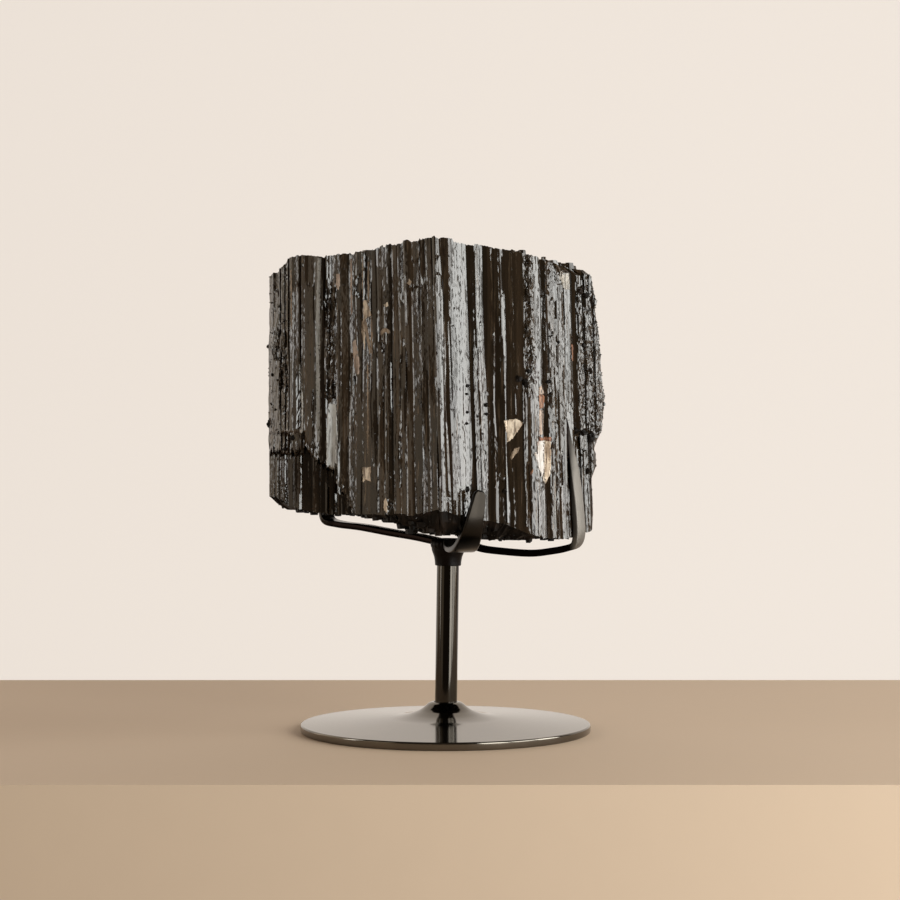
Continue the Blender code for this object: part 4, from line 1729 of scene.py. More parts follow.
@dataclass
class Splinters:
    """Slim crystals that stand out from the stone's side and catch the light."""

    seed: int = 23
    depth: float = 4.0
    column: float = 0.7
    row: float = 1.6
    placed: tuple[Splinter, ...] = (
        Splinter(-54.4, -53.2, 124.0, 150.0, 22.0, 0.0, 0.0, 0.04),
        Splinter(-76.6, -74.2, 156.5, 185.4, 19.0, 0.3, 1.0, 0.1, 0.1),
        Splinter(-68.3, -67.2, 143.0, 176.0, 20.0, 0.2, 0.0, 0.6),
        Splinter(-59.3, -58.3, 188.0, 226.0, 20.0, 0.2, 0.0, 0.9),
        Splinter(-58.2, -57.2, 172.0, 208.0, 20.0, 0.2, 0.0, 0.9),
        Splinter(-41.1, -40.2, 221.0, 245.0, 20.0, 0.3),
        Splinter(-23.4, -22.4, 126.5, 152.0, 20.0, 0.4, 0.0, 0.8, 0.1),
        Splinter(-31.3, -30.8, 166.0, 183.0, 20.0, 0.3, 0.0, 0.3),
        Splinter(-46.6, -46.0, 149.0, 183.0, 17.0, 0.2, 0.0, 0.2, 0.3),
        Splinter(14.5, 17.1, 109.0, 197.0, 18.0, 0.2, 0.3, 0.04, 0.1),
        Splinter(23.4, 24.0, 127.0, 145.0, 20.0, 0.3, 0.0, 0.6),
        Splinter(38.6, 39.3, 108.0, 179.0, 20.0, 0.3, 0.0, 0.3),
        Splinter(34.6, 35.1, 163.0, 172.0, 20.0, 0.3),
        Splinter(44.8, 47.6, 102.0, 127.0, 36.0, 0.5),
        Splinter(58.3, 59.1, 128.0, 142.0, 20.0, 0.5),
        Splinter(68.4, 72.0, 146.6, 153.6, 30.0, 1.2, 0.0, 0.1),
        Splinter(68.6, 71.6, 137.0, 145.2, 9.0, 1.2, 0.0, 0.1),
        Splinter(72.6, 73.3, 226.0, 235.5, 20.0, 0.4),
        Splinter(75.2, 76.4, 226.0, 235.0, 30.0, 0.4),
    )

    def build(self, probe: Probe) -> Piece:
        """Make the splinters as one piece on the skin.

        Args:
            probe: The skin's surface.

        Returns:
            The piece.
        """
        random = np.random.default_rng(self.seed)
        points: list[Array] = []
        faces: list[Corners] = []
        crusts: list[Array] = []
        dusts: list[Array] = []
        total = 0
        for splinter in self.placed:
            rings = self.rings(splinter, probe, random)
            rows, count = rings.shape[:2]
            points.append(rings.reshape(-1, 3))
            for row in range(rows - 1):
                low, high = total + row * count, total + (row + 1) * count
                faces += stitched(low, count, high, count, True)
            points.append(rings[[0, -1]].mean(axis=1))
            foot, top = total + rows * count, total + rows * count + 1
            last = total + (rows - 1) * count
            faces += [(total + (i + 1) % count, total + i, foot) for i in range(count)]
            faces += [(last + i, last + (i + 1) % count, top) for i in range(count)]
            total += rows * count + 2
            crusts.append(np.full(rows * count + 2, splinter.crust))
            dusts.append(np.full(rows * count + 2, splinter.dust))
        mesh = mesh_of(np.concatenate(points), faces, None)
        keep(mesh, "crust", np.concatenate(crusts))
        keep(mesh, "dust", np.concatenate(dusts))
        return seated(add_piece("tourmaline_splinters", mesh, CrystalFace()), STONE_SLOT)

    def rings(self, splinter: Splinter, probe: Probe, random: np.random.Generator) -> Array:
        """Points of one splinter.

        Args:
            splinter: The splinter.
            probe: The skin's surface.
            random: The source of chance.

        Returns:
            Its points by row and place round it.
        """
        middle = (splinter.left + splinter.right) / 2.0
        inset = min(0.2, (splinter.right - splinter.left) / 4.0)
        spots = (splinter.left + inset, middle, splinter.right - inset)
        tilt = math.tan(math.radians(splinter.facing))
        rows = max(3, round((splinter.top - splinter.foot) / self.row)) + 1
        count = max(2, round((splinter.right - splinter.left) / self.column))
        levels = np.linspace(splinter.foot, splinter.top, rows)
        depths = [probe.depth(x + leaning(x, z), z) - (x - middle) * tilt for z in levels for x in spots]
        foremost = 15
        front = float(np.percentile(depths, foremost)) - splinter.proud
        zigzag = np.concatenate(([0.0], random.normal(0.0, 0.10, count - 1), [0.0]))
        feet = splinter.slant * np.linspace(0.0, 1.0, count + 1) + random.normal(0.0, 0.5, count + 1)
        tops = random.normal(0.0, 0.8, count + 1)
        wobble = np.cumsum(random.normal(0.0, 0.05 + 0.12 * splinter.crust, rows))
        wobble -= np.linspace(wobble[0], wobble[-1], rows)
        rings = []
        for step, z in enumerate(levels):
            share = step / (rows - 1)
            x = np.linspace(splinter.left, splinter.right, count + 1) + wobble[step]
            y = front + (x - middle) * tilt + zigzag * (1.0 if step % 5 else 0.4)
            y = y + random.normal(0.0, 0.02 + 0.25 * splinter.crust, count + 1)
            height = z + feet * (1.0 - share) ** 2 + tops * share ** 2
            face = np.column_stack((x + leaning(middle, height), y, height))
            back = face[[-1, 0]] + np.array([0.0, self.depth, 0.0])
            rings.append(np.concatenate((face, back)))
        return np.array(rings)


class Mineral(Enum):
    """What lies between or on the crystals, by its finish."""

    CREAM = PaleMineral("cream_feldspar", (0.74, 0.62, 0.48), (0.30, 0.215, 0.145), (0.09, 0.055, 0.034))
    BEIGE = PaleMineral("beige_feldspar", (0.32, 0.235, 0.16), (0.16, 0.108, 0.068), (0.045, 0.029, 0.018))
    QUARTZ = PaleMineral("white_quartz", (0.56, 0.53, 0.50), (0.36, 0.30, 0.25), (0.16, 0.09, 0.06))
    RUST = PaleMineral("rust_stain", (0.21, 0.082, 0.036), (0.06, 0.02, 0.01), (0.30, 0.15, 0.08))
    ROSE = PaleMineral("rose_feldspar", (0.47, 0.365, 0.29), (0.25, 0.175, 0.132), (0.06, 0.037, 0.027))
    # Painted sheen: pale grey that stands in for light shining off lit facets.
    SLATE_SHEEN = PaleMineral("slate_painted_sheen", (0.40, 0.41, 0.405), (0.31, 0.318, 0.31), (0.15, 0.15, 0.143))
    FAWN = PaleMineral("fawn_cleavage", (0.42, 0.385, 0.335), (0.31, 0.275, 0.23), (0.10, 0.085, 0.07))
    # Partly a pale surface, partly painted sheen of lit facets.
    SILVER_AND_SHEEN = PaleMineral("silver_pale_and_sheen", (0.50, 0.50, 0.485), (0.36, 0.355, 0.34), (0.14, 0.13, 0.12))
    BREAK = BlackBreakAndShade()


@dataclass(frozen=True)
class Inlay:
    """Another mineral on the stone's front: what it is, how proud, and its outline in x and height."""

    name: str
    mineral: Mineral
    lift: float
    outline: tuple[Pair, ...]


@dataclass
class Inlays:
    """Patches of feldspar, quartz and rust between the crystals, and pale grey painted sheen on lit facets.
    """

    seed: int = 5
    spacing: float = 0.7
    depth: float = 1.3
    rim_lift: float = 0.05
    placed: tuple[Inlay, ...] = (
        Inlay("beige_wedge", Mineral.CREAM, 0.35, (
            (-41.3, 221.1), (-39.6, 220.5), (-38.0, 216.4), (-36.7, 213.0), (-38.4, 212.2),
            (-40.9, 210.5), (-41.6, 215.5),
        )),
        Inlay("beige_streak", Mineral.BEIGE, 0.2, (
            (-41.9, 210.5), (-39.6, 210.5), (-38.4, 203.0), (-37.1, 194.7), (-38.0, 193.0),
            (-39.2, 199.7), (-40.7, 206.4), (-41.7, 199.7), (-42.1, 204.7),
        )),
        Inlay("cream_thread", Mineral.CREAM, 0.2, (
            (-41.9, 242.6), (-41.1, 242.4), (-41.0, 221.0), (-41.7, 221.4),
        )),
        Inlay("tan_thread", Mineral.BEIGE, 0.2, (
            (-39.1, 240.0), (-38.3, 239.6), (-38.1, 219.0), (-39.0, 220.4),
        )),
        Inlay("black_seam", Mineral.BREAK, 0.12, (
            (-40.9, 243.0), (-39.3, 242.6), (-39.2, 228.0), (-40.0, 221.0), (-40.8, 228.0),
        )),
        Inlay("cream_tail", Mineral.CREAM, 0.2, (
            (-41.4, 211.6), (-40.4, 211.6), (-40.2, 200.0), (-40.6, 195.0), (-41.2, 203.0),
        )),
        Inlay("tan_tail", Mineral.BEIGE, 0.2, (
            (-37.5, 212.2), (-36.6, 212.6), (-36.4, 196.0), (-36.9, 184.6), (-37.3, 198.0),
        )),
        # Pale patch: partly a pale surface, partly painted sheen of the lit facets there.
        Inlay("silver_sheen_face", Mineral.SILVER_AND_SHEEN, 0.4, (
            (-59.0, 169.1), (-55.3, 168.6), (-54.8, 157.0), (-54.5, 154.2), (-54.2, 142.5),
            (-54.4, 134.6), (-55.0, 138.4), (-56.0, 138.9), (-56.3, 134.8), (-60.2, 137.6),
            (-60.3, 147.0), (-60.1, 158.7), (-59.6, 166.2),
        )),
        Inlay("beige_thread", Mineral.BEIGE, 0.15, (
            (-39.4, 190.0), (-38.6, 188.0), (-38.4, 160.0), (-38.8, 142.0), (-39.4, 150.0),
            (-39.2, 170.0),
        )),
        Inlay("rose_streak", Mineral.ROSE, 0.25, (
            (-46.9, 199.9), (-45.2, 201.1), (-43.1, 189.8), (-43.5, 183.6), (-45.2, 183.2),
            (-46.2, 189.8),
        )),
        Inlay("rose_thread", Mineral.ROSE, 0.2, (
            (-47.9, 242.0), (-47.0, 242.0), (-46.9, 214.0), (-47.7, 213.0),
        )),
        Inlay("cream_flag", Mineral.CREAM, 0.35, (
            (-42.0, 136.7), (-37.4, 137.0), (-37.1, 134.6), (-37.6, 133.0), (-37.1, 129.6),
            (-39.6, 130.5), (-41.7, 129.2), (-41.3, 133.0),
        )),
        Inlay("rose_chip", Mineral.ROSE, 0.3, (
            (-55.2, 234.4), (-53.4, 234.6), (-53.1, 230.0), (-53.8, 226.4), (-55.2, 227.4),
        )),
        Inlay("tan_spot", Mineral.BEIGE, 0.25, (
            (-33.1, 203.5), (-32.7, 204.9), (-30.3, 206.6), (-27.4, 205.0), (-27.8, 203.4),
            (-29.9, 204.4), (-31.9, 202.5),
        )),
        Inlay("tan_speck", Mineral.CREAM, 0.25, (
            (-30.8, 218.0), (-28.9, 219.0), (-28.4, 217.4), (-29.6, 216.6),
        )),
        Inlay("cream_foot", Mineral.CREAM, 0.3, (
            (-30.9, 117.0), (-30.5, 120.4), (-29.6, 121.8), (-28.8, 118.2), (-29.1, 113.6),
            (-30.3, 115.0),
        )),
        Inlay("tan_head", Mineral.BEIGE, 0.25, (
            (-19.1, 227.9), (-17.9, 230.4), (-16.7, 228.8), (-17.4, 226.9),
        )),
        Inlay("tan_line", Mineral.BEIGE, 0.15, (
            (-79.6, 238.0), (-78.9, 238.2), (-78.8, 222.0), (-78.6, 208.0), (-79.3, 207.0),
            (-79.5, 222.0),
        )),
        Inlay("cream_corner", Mineral.CREAM, 0.5, (
            (29.1, 160.3), (32.1, 160.6), (35.5, 161.0), (38.7, 159.2), (37.6, 157.1), (35.5, 154.2),
            (33.1, 150.9), (30.7, 149.2), (30.4, 153.0), (29.7, 157.1),
        )),
        Inlay("rust_flake", Mineral.BEIGE, 0.5, (
            (32.1, 141.8), (33.1, 144.7), (34.7, 146.3), (37.2, 147.1), (36.3, 144.7), (34.3, 142.6),
            (33.2, 140.5),
        )),
        Inlay("quartz_patch", Mineral.QUARTZ, 0.5, (
            (45.8, 149.7), (50.0, 150.4), (50.1, 145.5), (49.6, 141.3), (49.8, 136.3), (48.3, 131.7),
            (46.6, 136.3), (44.3, 143.8), (45.8, 144.6),
        )),
        Inlay("cream_patch", Mineral.CREAM, 0.4, (
            (50.0, 150.4), (53.2, 149.7), (53.4, 144.6), (53.2, 137.1), (52.7, 132.9), (50.0, 127.9),
            (48.7, 131.3), (49.8, 136.3), (49.6, 141.3), (50.1, 145.5),
        )),
        Inlay("rust_rim", Mineral.RUST, 0.6, (
            (46.5, 149.9), (46.6, 152.6), (48.8, 151.6), (50.8, 152.2), (53.3, 152.0), (53.5, 149.9),
            (50.0, 150.4),
        )),
        Inlay("rust_patch", Mineral.RUST, 0.5, (
            (46.5, 172.6), (48.2, 173.6), (50.0, 173.0), (50.1, 171.0), (49.1, 166.4), (47.1, 166.0),
            (46.5, 170.6),
        )),
        Inlay("peach_patch", Mineral.ROSE, 0.45, (
            (46.7, 176.4), (48.1, 178.2), (49.9, 174.2), (48.2, 173.4), (46.5, 173.0),
        )),
        Inlay("rose_strip", Mineral.ROSE, 0.3, (
            (46.7, 165.6), (49.0, 165.8), (49.3, 158.0), (48.8, 153.2), (47.0, 153.0), (46.9, 160.0),
        )),
        Inlay("pale_facet", Mineral.FAWN, 0.15, (
            (57.8, 236.5), (63.1, 235.9), (63.4, 227.6), (61.0, 227.2), (59.9, 228.5), (59.1, 231.5),
            (57.8, 231.9),
        )),
        # Painted highlight: a grey strip where a lit facet shines.
        Inlay("slate_sheen_blade", Mineral.SLATE_SHEEN, 0.1, (
            (-65.2, 243.0), (-63.2, 243.2), (-63.6, 222.0), (-63.9, 190.0), (-63.9, 160.7),
            (-64.1, 150.0), (-65.4, 149.0), (-65.9, 165.0), (-66.0, 190.0), (-65.8, 222.0),
        )),
        # Painted highlight: a grey strip where a lit splinter shines.
        Inlay("silver_sheen_blade", Mineral.SILVER_AND_SHEEN, 0.15, (
            (-75.0, 187.5), (-74.2, 190.5), (-73.6, 180.0), (-72.8, 170.0), (-73.0, 155.0),
            (-74.4, 153.0), (-75.1, 165.0),
        )),
        Inlay("rust_line", Mineral.RUST, 0.35, (
            (64.2, 199.8), (65.4, 199.0), (65.3, 191.0), (64.4, 192.0),
        )),
        Inlay("rust_slash", Mineral.RUST, 0.35, (
            (42.0, 133.8), (43.6, 136.2), (44.0, 135.0), (42.6, 132.6),
        )),
    )

    def build(self, probe: Probe) -> list[Piece]:
        """Make each patch on the skin that the probe finds."""
        random = np.random.default_rng(self.seed)
        return [self.patch(inlay, probe, random) for inlay in self.placed]

    def outline(self, inlay: Inlay, random: np.random.Generator) -> Array:
        """Break up a patch's outline.

        Args:
            inlay: The patch.
            random: The source of chance.

        Returns:
            Closely spaced points of the outline.
        """
        corners = np.array(inlay.outline)
        after = np.roll(corners, -1, axis=0)
        if (corners[:, 0] * after[:, 1] - after[:, 0] * corners[:, 1]).sum() < 0.0:
            corners = corners[::-1]
        found = []
        for start, end in zip(corners, np.roll(corners, -1, axis=0)):
            steps = max(1, round(float(np.linalg.norm(end - start)) / self.spacing))
            for step in range(steps):
                found.append(start + (end - start) * step / steps)
        return np.array(found) + random.normal(0.0, 0.12, (len(found), 2))

    @staticmethod
    def inside(place: Vector, rim: Array) -> bool:
        """Whether a place is inside an outline.

        Args:
            place: The place, in x and height.
            rim: The outline's points.

        Returns:
            True if a level line from the place crosses the outline an odd number of times.
        """
        after = np.roll(rim, -1, axis=0)
        spans = (rim[:, 1] > place[1]) != (after[:, 1] > place[1])
        rise = np.where(spans, after[:, 1] - rim[:, 1], 1.0)
        crossing = rim[:, 0] + (place[1] - rim[:, 1]) / rise * (after[:, 0] - rim[:, 0])
        return bool((spans & (crossing > place[0])).sum() % 2)

    def patch(self, inlay: Inlay, probe: Probe, random: np.random.Generator) -> Piece:
        """Make one patch, laid on the surface.

        Args:
            inlay: The patch.
            probe: The skin's surface.
            random: The source of chance.

        Returns:
            The piece.
        """
        rim = self.outline(inlay, random)
        spans = zip(rim.min(axis=0), rim.max(axis=0))
        lines = np.meshgrid(*(np.arange(low + 0.3, high, self.spacing) for low, high in spans))
        grid = np.stack(lines, axis=-1).reshape(-1, 2)
        grid = grid + random.uniform(-0.15, 0.15, grid.shape)
        flat = [Vector(point) for point in np.concatenate((rim, grid))]
        plan, _, cut = delaunay_2d_cdt(flat, [], [list(range(len(rim)))], 1, 1e-4, False)[:3]
        triangles = []
        for face in cut:
            middle = sum((plan[index] for index in face), Vector((0.0, 0.0))) / 3.0
            if self.inside(middle, rim):
                triangles.append(face)
        edges: dict[tuple[int, int], None] = {}
        for triangle in triangles:
            edges.update(dict.fromkeys(zip(triangle, (*triangle[1:], triangle[0]))))
        border = [(start, end) for start, end in edges if (end, start) not in edges]
        on_rim = {index for pair in border for index in pair}
        front = []
        for index, (x, z) in enumerate(plan):
            lift = self.rim_lift if index in on_rim else inlay.lift + random.normal(0.0, 0.09)
            front.append((x, probe.depth(x, z) - lift, z))
        count = len(plan)
        points = np.array(front)
        behind = points + np.array([0.0, self.depth, 0.0])
        faces = [tuple(triangle) for triangle in triangles]
        faces += [tuple(count + index for index in reversed(triangle)) for triangle in triangles]
        faces += [(end, start, count + start, count + end) for start, end in border]
        mesh = mesh_of(np.concatenate((points, behind)), faces, 30.0)
        return seated(add_piece(inlay.name, mesh, inlay.mineral.value), STONE_SLOT)


@dataclass(frozen=True)
class Lump:
    """One black grain on the stone's front: where its middle is, and its size."""

    x: float
    z: float
    width: float
    height: float
    y: float | None = None


@dataclass
class Lumps:
    """Black grains that sit on the crystals, broken from their neighbours."""

    seed: int = 31
    roughness: float = 0.16
    placed: tuple[Lump, ...] = (
        Lump(10.6, 177.2, 3.0, 1.6), Lump(10.3, 173.2, 2.6, 1.3), Lump(10.6, 164.2, 2.4, 1.5),
        Lump(10.2, 158.6, 2.6, 1.3), Lump(10.7, 126.0, 2.6, 3.0), Lump(15.4, 162.2, 2.6, 1.4),
        Lump(20.2, 168.0, 2.0, 2.2), Lump(20.3, 163.4, 1.8, 1.6), Lump(29.6, 125.0, 2.6, 2.6),
        Lump(29.4, 177.0, 1.2, 2.0), Lump(36.6, 181.0, 3.4, 3.2), Lump(39.8, 178.6, 3.2, 4.6),
        Lump(41.4, 184.6, 2.6, 2.2), Lump(52.0, 180.0, 3.2, 2.0), Lump(52.6, 173.0, 2.4, 1.4),
        Lump(57.2, 200.0, 1.6, 1.8), Lump(66.2, 155.4, 6.6, 3.4), Lump(70.6, 154.4, 5.8, 3.8),
        Lump(74.4, 152.0, 5.0, 5.2), Lump(73.6, 146.4, 3.4, 4.4), Lump(75.6, 136.6, 4.2, 5.0, 2.0),
        Lump(72.8, 134.6, 3.6, 3.4), Lump(68.6, 226.6, 4.2, 3.8), Lump(72.4, 225.0, 4.0, 3.2),
        Lump(75.4, 222.6, 3.4, 3.8), Lump(73.8, 186.0, 3.8, 3.4), Lump(70.6, 199.4, 2.8, 2.4),
        Lump(-91.4, 159.2, 4.6, 6.4, 12.0), Lump(-78.4, 151.6, 2.6, 2.8), Lump(-72.4, 152.0, 3.4, 2.6),
        Lump(-82.2, 146.0, 3.0, 2.2),
    )

    def build(self, probe: Probe) -> Piece:
        """Make the grains as one piece.

        Args:
            probe: The skin's surface.

        Returns:
            The piece.
        """
        random = np.random.default_rng(self.seed)
        shape = bmesh.new()
        for lump in self.placed:
            y = probe.depth(lump.x, lump.z) if lump.y is None else lump.y
            made = bmesh.ops.create_icosphere(shape, subdivisions=2, radius=0.5)
            deep = min(lump.width, lump.height) * 0.8
            size = np.array([lump.width, deep, lump.height])
            for vertex in made["verts"]:
                away = 1.0 + random.normal(0.0, self.roughness)
                vertex.co = Vector((np.array(vertex.co) * size * away + (lump.x, y, lump.z)) * MM)
        mesh = bpy.data.meshes.new("lumps")
        shape.to_mesh(mesh)
        shape.free()
        return seated(add_piece("tourmaline_lumps", mesh, BlackBreakAndShade()), STONE_SLOT)


@dataclass
class Growing:
    """Small crystals or grains grown over the skin with Geometry Nodes.

    They are strewn where the skin's mask is, density a square millimetre and no
    nearer than spacing. Each is narrow to wide across and short to tall, sunk
    into the skin, turned and swayed in radians, and its faces are uneven.
    """

    name: str
    mask: str
    finish: Finish
    seed: int
    density: float
    spacing: float
    narrow: float
    wide: float
    short: float
    tall: float
    sink: float
    sway: float
    uneven: float
    turn: float = 0.0
    sides: int = 6
    taper: float = 0.84
    grain: bool = False

    def sizes(self) -> dict[str, float]:
        """The tree's inputs by name, in metres, radians and pieces a square metre.

        Returns:
            The sizes that the tree takes.
        """
        return {
            "Density": self.density / MM ** 2,
            "Spacing": self.spacing * MM,
            "Narrow": self.narrow * MM,
            "Wide": self.wide * MM,
            "Short": self.short * MM,
            "Tall": self.tall * MM,
            "Sink": self.sink * MM,
            "Turn": self.turn,
            "Sway": self.sway,
            "Uneven": self.uneven * MM,
        }

    def tree(self) -> bpy.types.NodeTree:
        """Build the node tree that grows the pieces.

        Returns:
            The tree, with inputs for its sizes and its seed.
        """
        tree = bpy.data.node_groups.new(f"grow_{self.name}", "GeometryNodeTree")
        tree.interface.new_socket(name="Geometry", in_out="INPUT", socket_type="NodeSocketGeometry")
        for name in self.sizes():
            tree.interface.new_socket(name=name, in_out="INPUT", socket_type="NodeSocketFloat")
        tree.interface.new_socket(name="Seed", in_out="INPUT", socket_type="NodeSocketInt")
        tree.interface.new_socket(name="Geometry", in_out="OUTPUT", socket_type="NodeSocketGeometry")
        desk = Desk(tree)
        given = desk.node("NodeGroupInput")
        size = {socket.name: Wire(desk, socket) for socket in given.outputs if socket.name}
        placed = self.strewn(desk, size)
        real = desk.node("GeometryNodeRealizeInstances", {}, {"Geometry": placed})
        place = desk.wire(desk.node("GeometryNodeInputPosition"))
        finest = 0.0008
        sockets = {"Vector": place, "Scale": 1.0 / max(self.wide * MM, finest), "Detail": 1.0}
        noise = desk.node("ShaderNodeTexNoise", {"noise_dimensions": "3D"}, sockets)
        sockets = {0: desk.wire(noise, "Color"), 1: (0.5, 0.5, 0.5)}
        centred = desk.node("ShaderNodeVectorMath", {"operation": "SUBTRACT"}, sockets)
        rough = desk.scaled(desk.wire(centred), size["Uneven"])
        shaped = desk.node("GeometryNodeSetPosition", {}, {"Geometry": desk.wire(real), "Offset": rough})
        sockets = {"Geometry": desk.wire(shaped), "Shade Smooth": False}
        flat = desk.node("GeometryNodeSetShadeSmooth", {}, sockets)
        sockets = {"Geometry": desk.wire(flat), "Material": self.finish.material()}
        dressed = desk.node("GeometryNodeSetMaterial", {}, sockets)
        desk.node("NodeGroupOutput", {}, {"Geometry": desk.wire(dressed)})
        return tree

    def strewn(self, desk: Desk, size: Mapping[str, Wire]) -> Wire:
        """Strew the pieces over the skin, each of its own size and lean.

        Args:
            desk: The tree's desk.
            size: The tree's inputs by name.

        Returns:
            The pieces, as instances.
        """
        named = desk.node("GeometryNodeInputNamedAttribute", {"data_type": "FLOAT"}, {"Name": self.mask})
        scattered = desk.node(
            "GeometryNodeDistributePointsOnFaces",
            {"distribute_method": "POISSON"},
            {
                "Mesh": size["Geometry"],
                "Distance Min": size["Spacing"],
                "Density Max": size["Density"],
                "Density Factor": desk.wire(named, "Attribute"),
                "Seed": size["Seed"],
            },
        )
        if self.grain:
            body = desk.node("GeometryNodeMeshIcoSphere", {}, {"Radius": 0.5, "Subdivisions": 1})
        else:
            sockets = {"Vertices": self.sides, "Side Segments": 2, "Depth": 1.0}
            sockets.update({"Radius Top": self.taper / 2.0, "Radius Bottom": 0.5})
            body = desk.node("GeometryNodeMeshCone", {"fill_type": "NGON"}, sockets)
        chance = self.random_float(desk, 0.0, 1.0, size["Seed"])
        thick = size["Narrow"] + (size["Wide"] - size["Narrow"]) * chance ** 2.0
        second = self.random_float(desk, 0.0, 1.0, size["Seed"] + 1.0)
        length = size["Short"] + (size["Tall"] - size["Short"]) * second ** 1.6
        third = self.random_float(desk, 0.6, 1.3, size["Seed"] + 2.0)
        scale = desk.node("ShaderNodeCombineXYZ", {}, {"X": thick, "Y": thick * third, "Z": length})
        sockets = {0: (-1.0, -1.0, -1.0), 1: (1.0, 1.0, 1.0), "Seed": size["Seed"] + 3.0}
        swing = desk.node("FunctionNodeRandomValue", {"data_type": "FLOAT_VECTOR"}, sockets)
        parts = desk.node("ShaderNodeSeparateXYZ", {}, {"Vector": desk.wire(swing)})
        roll = desk.wire(parts, "Z") * math.pi
        tilt_x = desk.wire(parts, "X") * size["Sway"] + size["Turn"]
        tilt_y = desk.wire(parts, "Y") * size["Sway"]
        rotation = desk.node("ShaderNodeCombineXYZ", {}, {"X": tilt_x, "Y": tilt_y, "Z": roll})
        inwards = desk.scaled(desk.wire(scattered, "Normal"), size["Sink"] * -1.0)
        sockets = {"Geometry": desk.wire(scattered, "Points"), "Offset": inwards}
        sunk = desk.node("GeometryNodeSetPosition", {}, sockets)
        sockets = {
            "Points": desk.wire(sunk),
            "Instance": desk.wire(body, "Mesh"),
            "Rotation": desk.wire(rotation),
            "Scale": desk.wire(scale),
        }
        return desk.wire(desk.node("GeometryNodeInstanceOnPoints", {}, sockets))

    @staticmethod
    def random_float(desk: Desk, low: float, high: float, seed: Wire) -> Wire:
        """Add a random number for each piece."""
        sockets = {"Min": low, "Max": high, "Seed": seed}
        return desk.wire(desk.node("FunctionNodeRandomValue", {"data_type": "FLOAT"}, sockets), "Value")

    def build(self, skin: Piece) -> Piece:
        """Grow the pieces over the skin and keep them as a plain mesh.

        Args:
            skin: The stone's skin, with the kept numbers.

        Returns:
            The grown piece.
        """
        carrier = bpy.data.objects.new(f"{self.name}_carrier", skin.data)
        bpy.context.scene.collection.objects.link(carrier)
        tree = self.tree()
        modifier = carrier.modifiers.new("grow", "NODES")
        modifier.node_group = tree
        sizes = {**self.sizes(), "Seed": self.seed}
        for item in tree.interface.items_tree:
            if item.in_out == "INPUT" and item.name in sizes:
                modifier[item.identifier] = sizes[item.name]
        shown = carrier.evaluated_get(bpy.context.evaluated_depsgraph_get())
        mesh = bpy.data.meshes.new_from_object(shown)
        bpy.data.objects.remove(carrier)
        piece = add_piece(self.name, mesh, self.finish)
        return seated(piece, STONE_SLOT)


@dataclass
class Garnish:
    """Everything small that grew on the stone."""

    growths: tuple[Growing, ...] = (
        Growing(
            "crust_lumps", "crust", CrustGlass(), seed=11, density=0.16, spacing=1.1, narrow=0.8, wide=2.6,
            short=0.7, tall=2.4, sink=0.2, sway=3.1, uneven=2.2, grain=True,
        ),
        Growing(
            "crust_grains", "crust", CrustGlass(), seed=12, density=0.5, spacing=0.5, narrow=0.35, wide=0.9,
            short=0.35, tall=0.9, sink=0.0, sway=3.1, uneven=0.8, grain=True,
        ),
        Growing(
            "top_crystals", "top_inside", CrystalFace(), seed=13, density=0.07, spacing=2.2, narrow=2.4,
            wide=8.0, short=2.0, tall=3.8, sink=1.0, sway=0.05, uneven=0.7,
        ),
        # Foot crystals take the near-black break finish, as painted shade.
        Growing(
            "foot_crystals", "foot_inside", BlackBreakAndShade(), seed=14, density=0.07, spacing=2.2, narrow=2.4,
            wide=8.0, short=1.6, tall=2.8, sink=1.0, sway=0.05, uneven=0.7, turn=math.pi,
        ),
    )

    def build(self, skin: Piece) -> list[Piece]:
        """Grow each kind over the skin."""
        return [growth.build(skin) for growth in self.growths]


# ---------------- stage


@dataclass(frozen=True)
class SoftPanel:
    """A soft light panel that stands round the object and faces it."""

    name: str
    azimuth: float
    distance: float
    height: float
    width: float
    tall: float
    radiance: float
    colour: Colour

    def place(self) -> Piece:
        """Stand the panel, facing the stone.

        Returns:
            The lamp.
        """
        light = bpy.data.lights.new(self.name, "AREA")
        light.shape = "RECTANGLE"
        light.size = self.width
        light.size_y = self.tall
        light.energy = self.radiance * math.pi * self.width * self.tall
        light.color = self.colour
        panel = bpy.data.objects.new(self.name, light)
        angle = math.radians(self.azimuth)
        panel.location = (self.distance * math.sin(angle), -self.distance * math.cos(angle), self.height)
        stone_middle = Vector((0.0, 0.0, 0.16))
        aim = stone_middle - panel.location
        panel.rotation_euler = aim.to_track_quat("-Z", "Y").to_euler()
        bpy.context.scene.collection.objects.link(panel)
        return panel


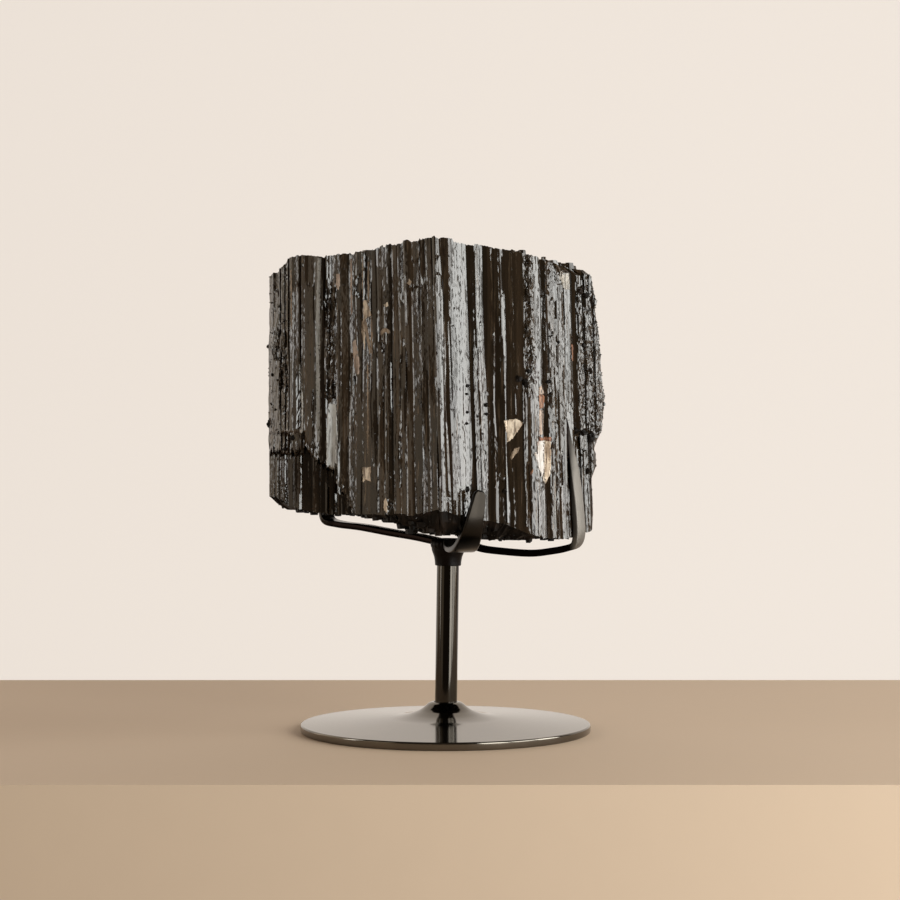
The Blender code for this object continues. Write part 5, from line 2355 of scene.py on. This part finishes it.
@dataclass
class Studio:
    """Floor, backdrop, lights and camera."""

    lens: float = 85.0
    eye: Point = (0.0023, -1.101, 0.1455)
    table_back: float = 0.243
    table_front: float = -0.178
    table_side: float = 1.2
    table_thickness: float = 0.08
    wall_back: float = 1.2
    wall_side: float = 2.6
    wall_foot: float = -1.2
    floor_finish: Plaster = Plaster("floor_paint", (0.64, 0.485, 0.35), (0.0, 0.0, 0.0))
    wall_finish: Plaster = Plaster("wall_paint", (0.20, 0.185, 0.17), (0.70, 0.637, 0.579))
    world: Colour = (0.080, 0.062, 0.044)
    panels: tuple[SoftPanel, ...] = (
        SoftPanel("right_near_strip", 38.0, 1.3, 0.20, 0.50, 1.5, 6.2, (0.99, 1.0, 0.97)),
        SoftPanel("right_mid_strip", 62.0, 1.3, 0.20, 0.41, 1.5, 4.6, (0.99, 1.0, 0.97)),
        SoftPanel("right_side_strip", 86.0, 1.3, 0.20, 0.50, 1.5, 7.0, (0.99, 1.0, 0.97)),
        SoftPanel("left_strip", -78.0, 1.3, 0.20, 0.24, 1.5, 4.2, (1.0, 0.975, 0.93)),
        SoftPanel("left_side_panel", -104.0, 1.3, 0.20, 1.00, 1.5, 0.75, (1.0, 0.84, 0.64)),
        SoftPanel("room_panel", -53.0, 1.3, 0.20, 0.60, 1.5, 0.50, (1.0, 0.83, 0.62)),
    )

    def sweep(self) -> None:
        """Lay the table top and stand the backdrop behind it."""
        side, front, back = self.table_side, self.table_front, self.table_back
        corners = ((-side, front), (side, front), (side, back), (-side, back))
        points = [(x, y, z) for z in (0.0, -self.table_thickness) for x, y in corners]
        edges = [(i, 4 + i, 4 + (i + 1) % 4, (i + 1) % 4) for i in range(4)]
        floor = bpy.data.meshes.new("floor")
        floor.from_pydata(points, [], [(0, 1, 2, 3), (7, 6, 5, 4), *edges])
        low, high = (self.wall_back, self.wall_foot), (self.wall_back, self.wall_side)
        side = self.wall_side
        wall = bpy.data.meshes.new("wall")
        wall.from_pydata([(-side, *low), (side, *low), (side, *high), (-side, *high)], [], [(0, 1, 2, 3)])
        add_piece("floor", floor, self.floor_finish)
        add_piece("wall", wall, self.wall_finish)

    def build(self) -> None:
        """Set up everything that isn't the object."""
        self.sweep()
        for panel in self.panels:
            panel.place()
        world = bpy.data.worlds.new("dim_room")
        world.use_nodes = True
        world.node_tree.nodes["Background"].inputs["Color"].default_value = opaque(self.world)
        scene = bpy.context.scene
        scene.world = world
        scene.view_settings.view_transform = "Standard"
        camera = bpy.data.cameras.new("camera")
        camera.lens = self.lens
        camera.sensor_width = 36.0
        eye = bpy.data.objects.new("camera", camera)
        eye.location = self.eye
        eye.rotation_euler = (math.radians(90.0), 0.0, 0.0)
        scene.collection.objects.link(eye)
        scene.camera = eye


def main() -> None:
    """Build the stage, the stand and the stone, and note the sizes."""
    logging.basicConfig(level=logging.INFO, format="%(name)s: %(message)s")
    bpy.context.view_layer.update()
    Studio().build()
    Base().build()
    post = Post()
    post.rod()
    post.ferrule()
    Cradle(post).build()
    post.weld()
    skin = Stone().build()
    probe = Probe(skin)
    Splinters().build(probe)
    Inlays().build(probe)
    Lumps().build(probe)
    Garnish().build(skin)


if __name__ == "__main__":
    main()
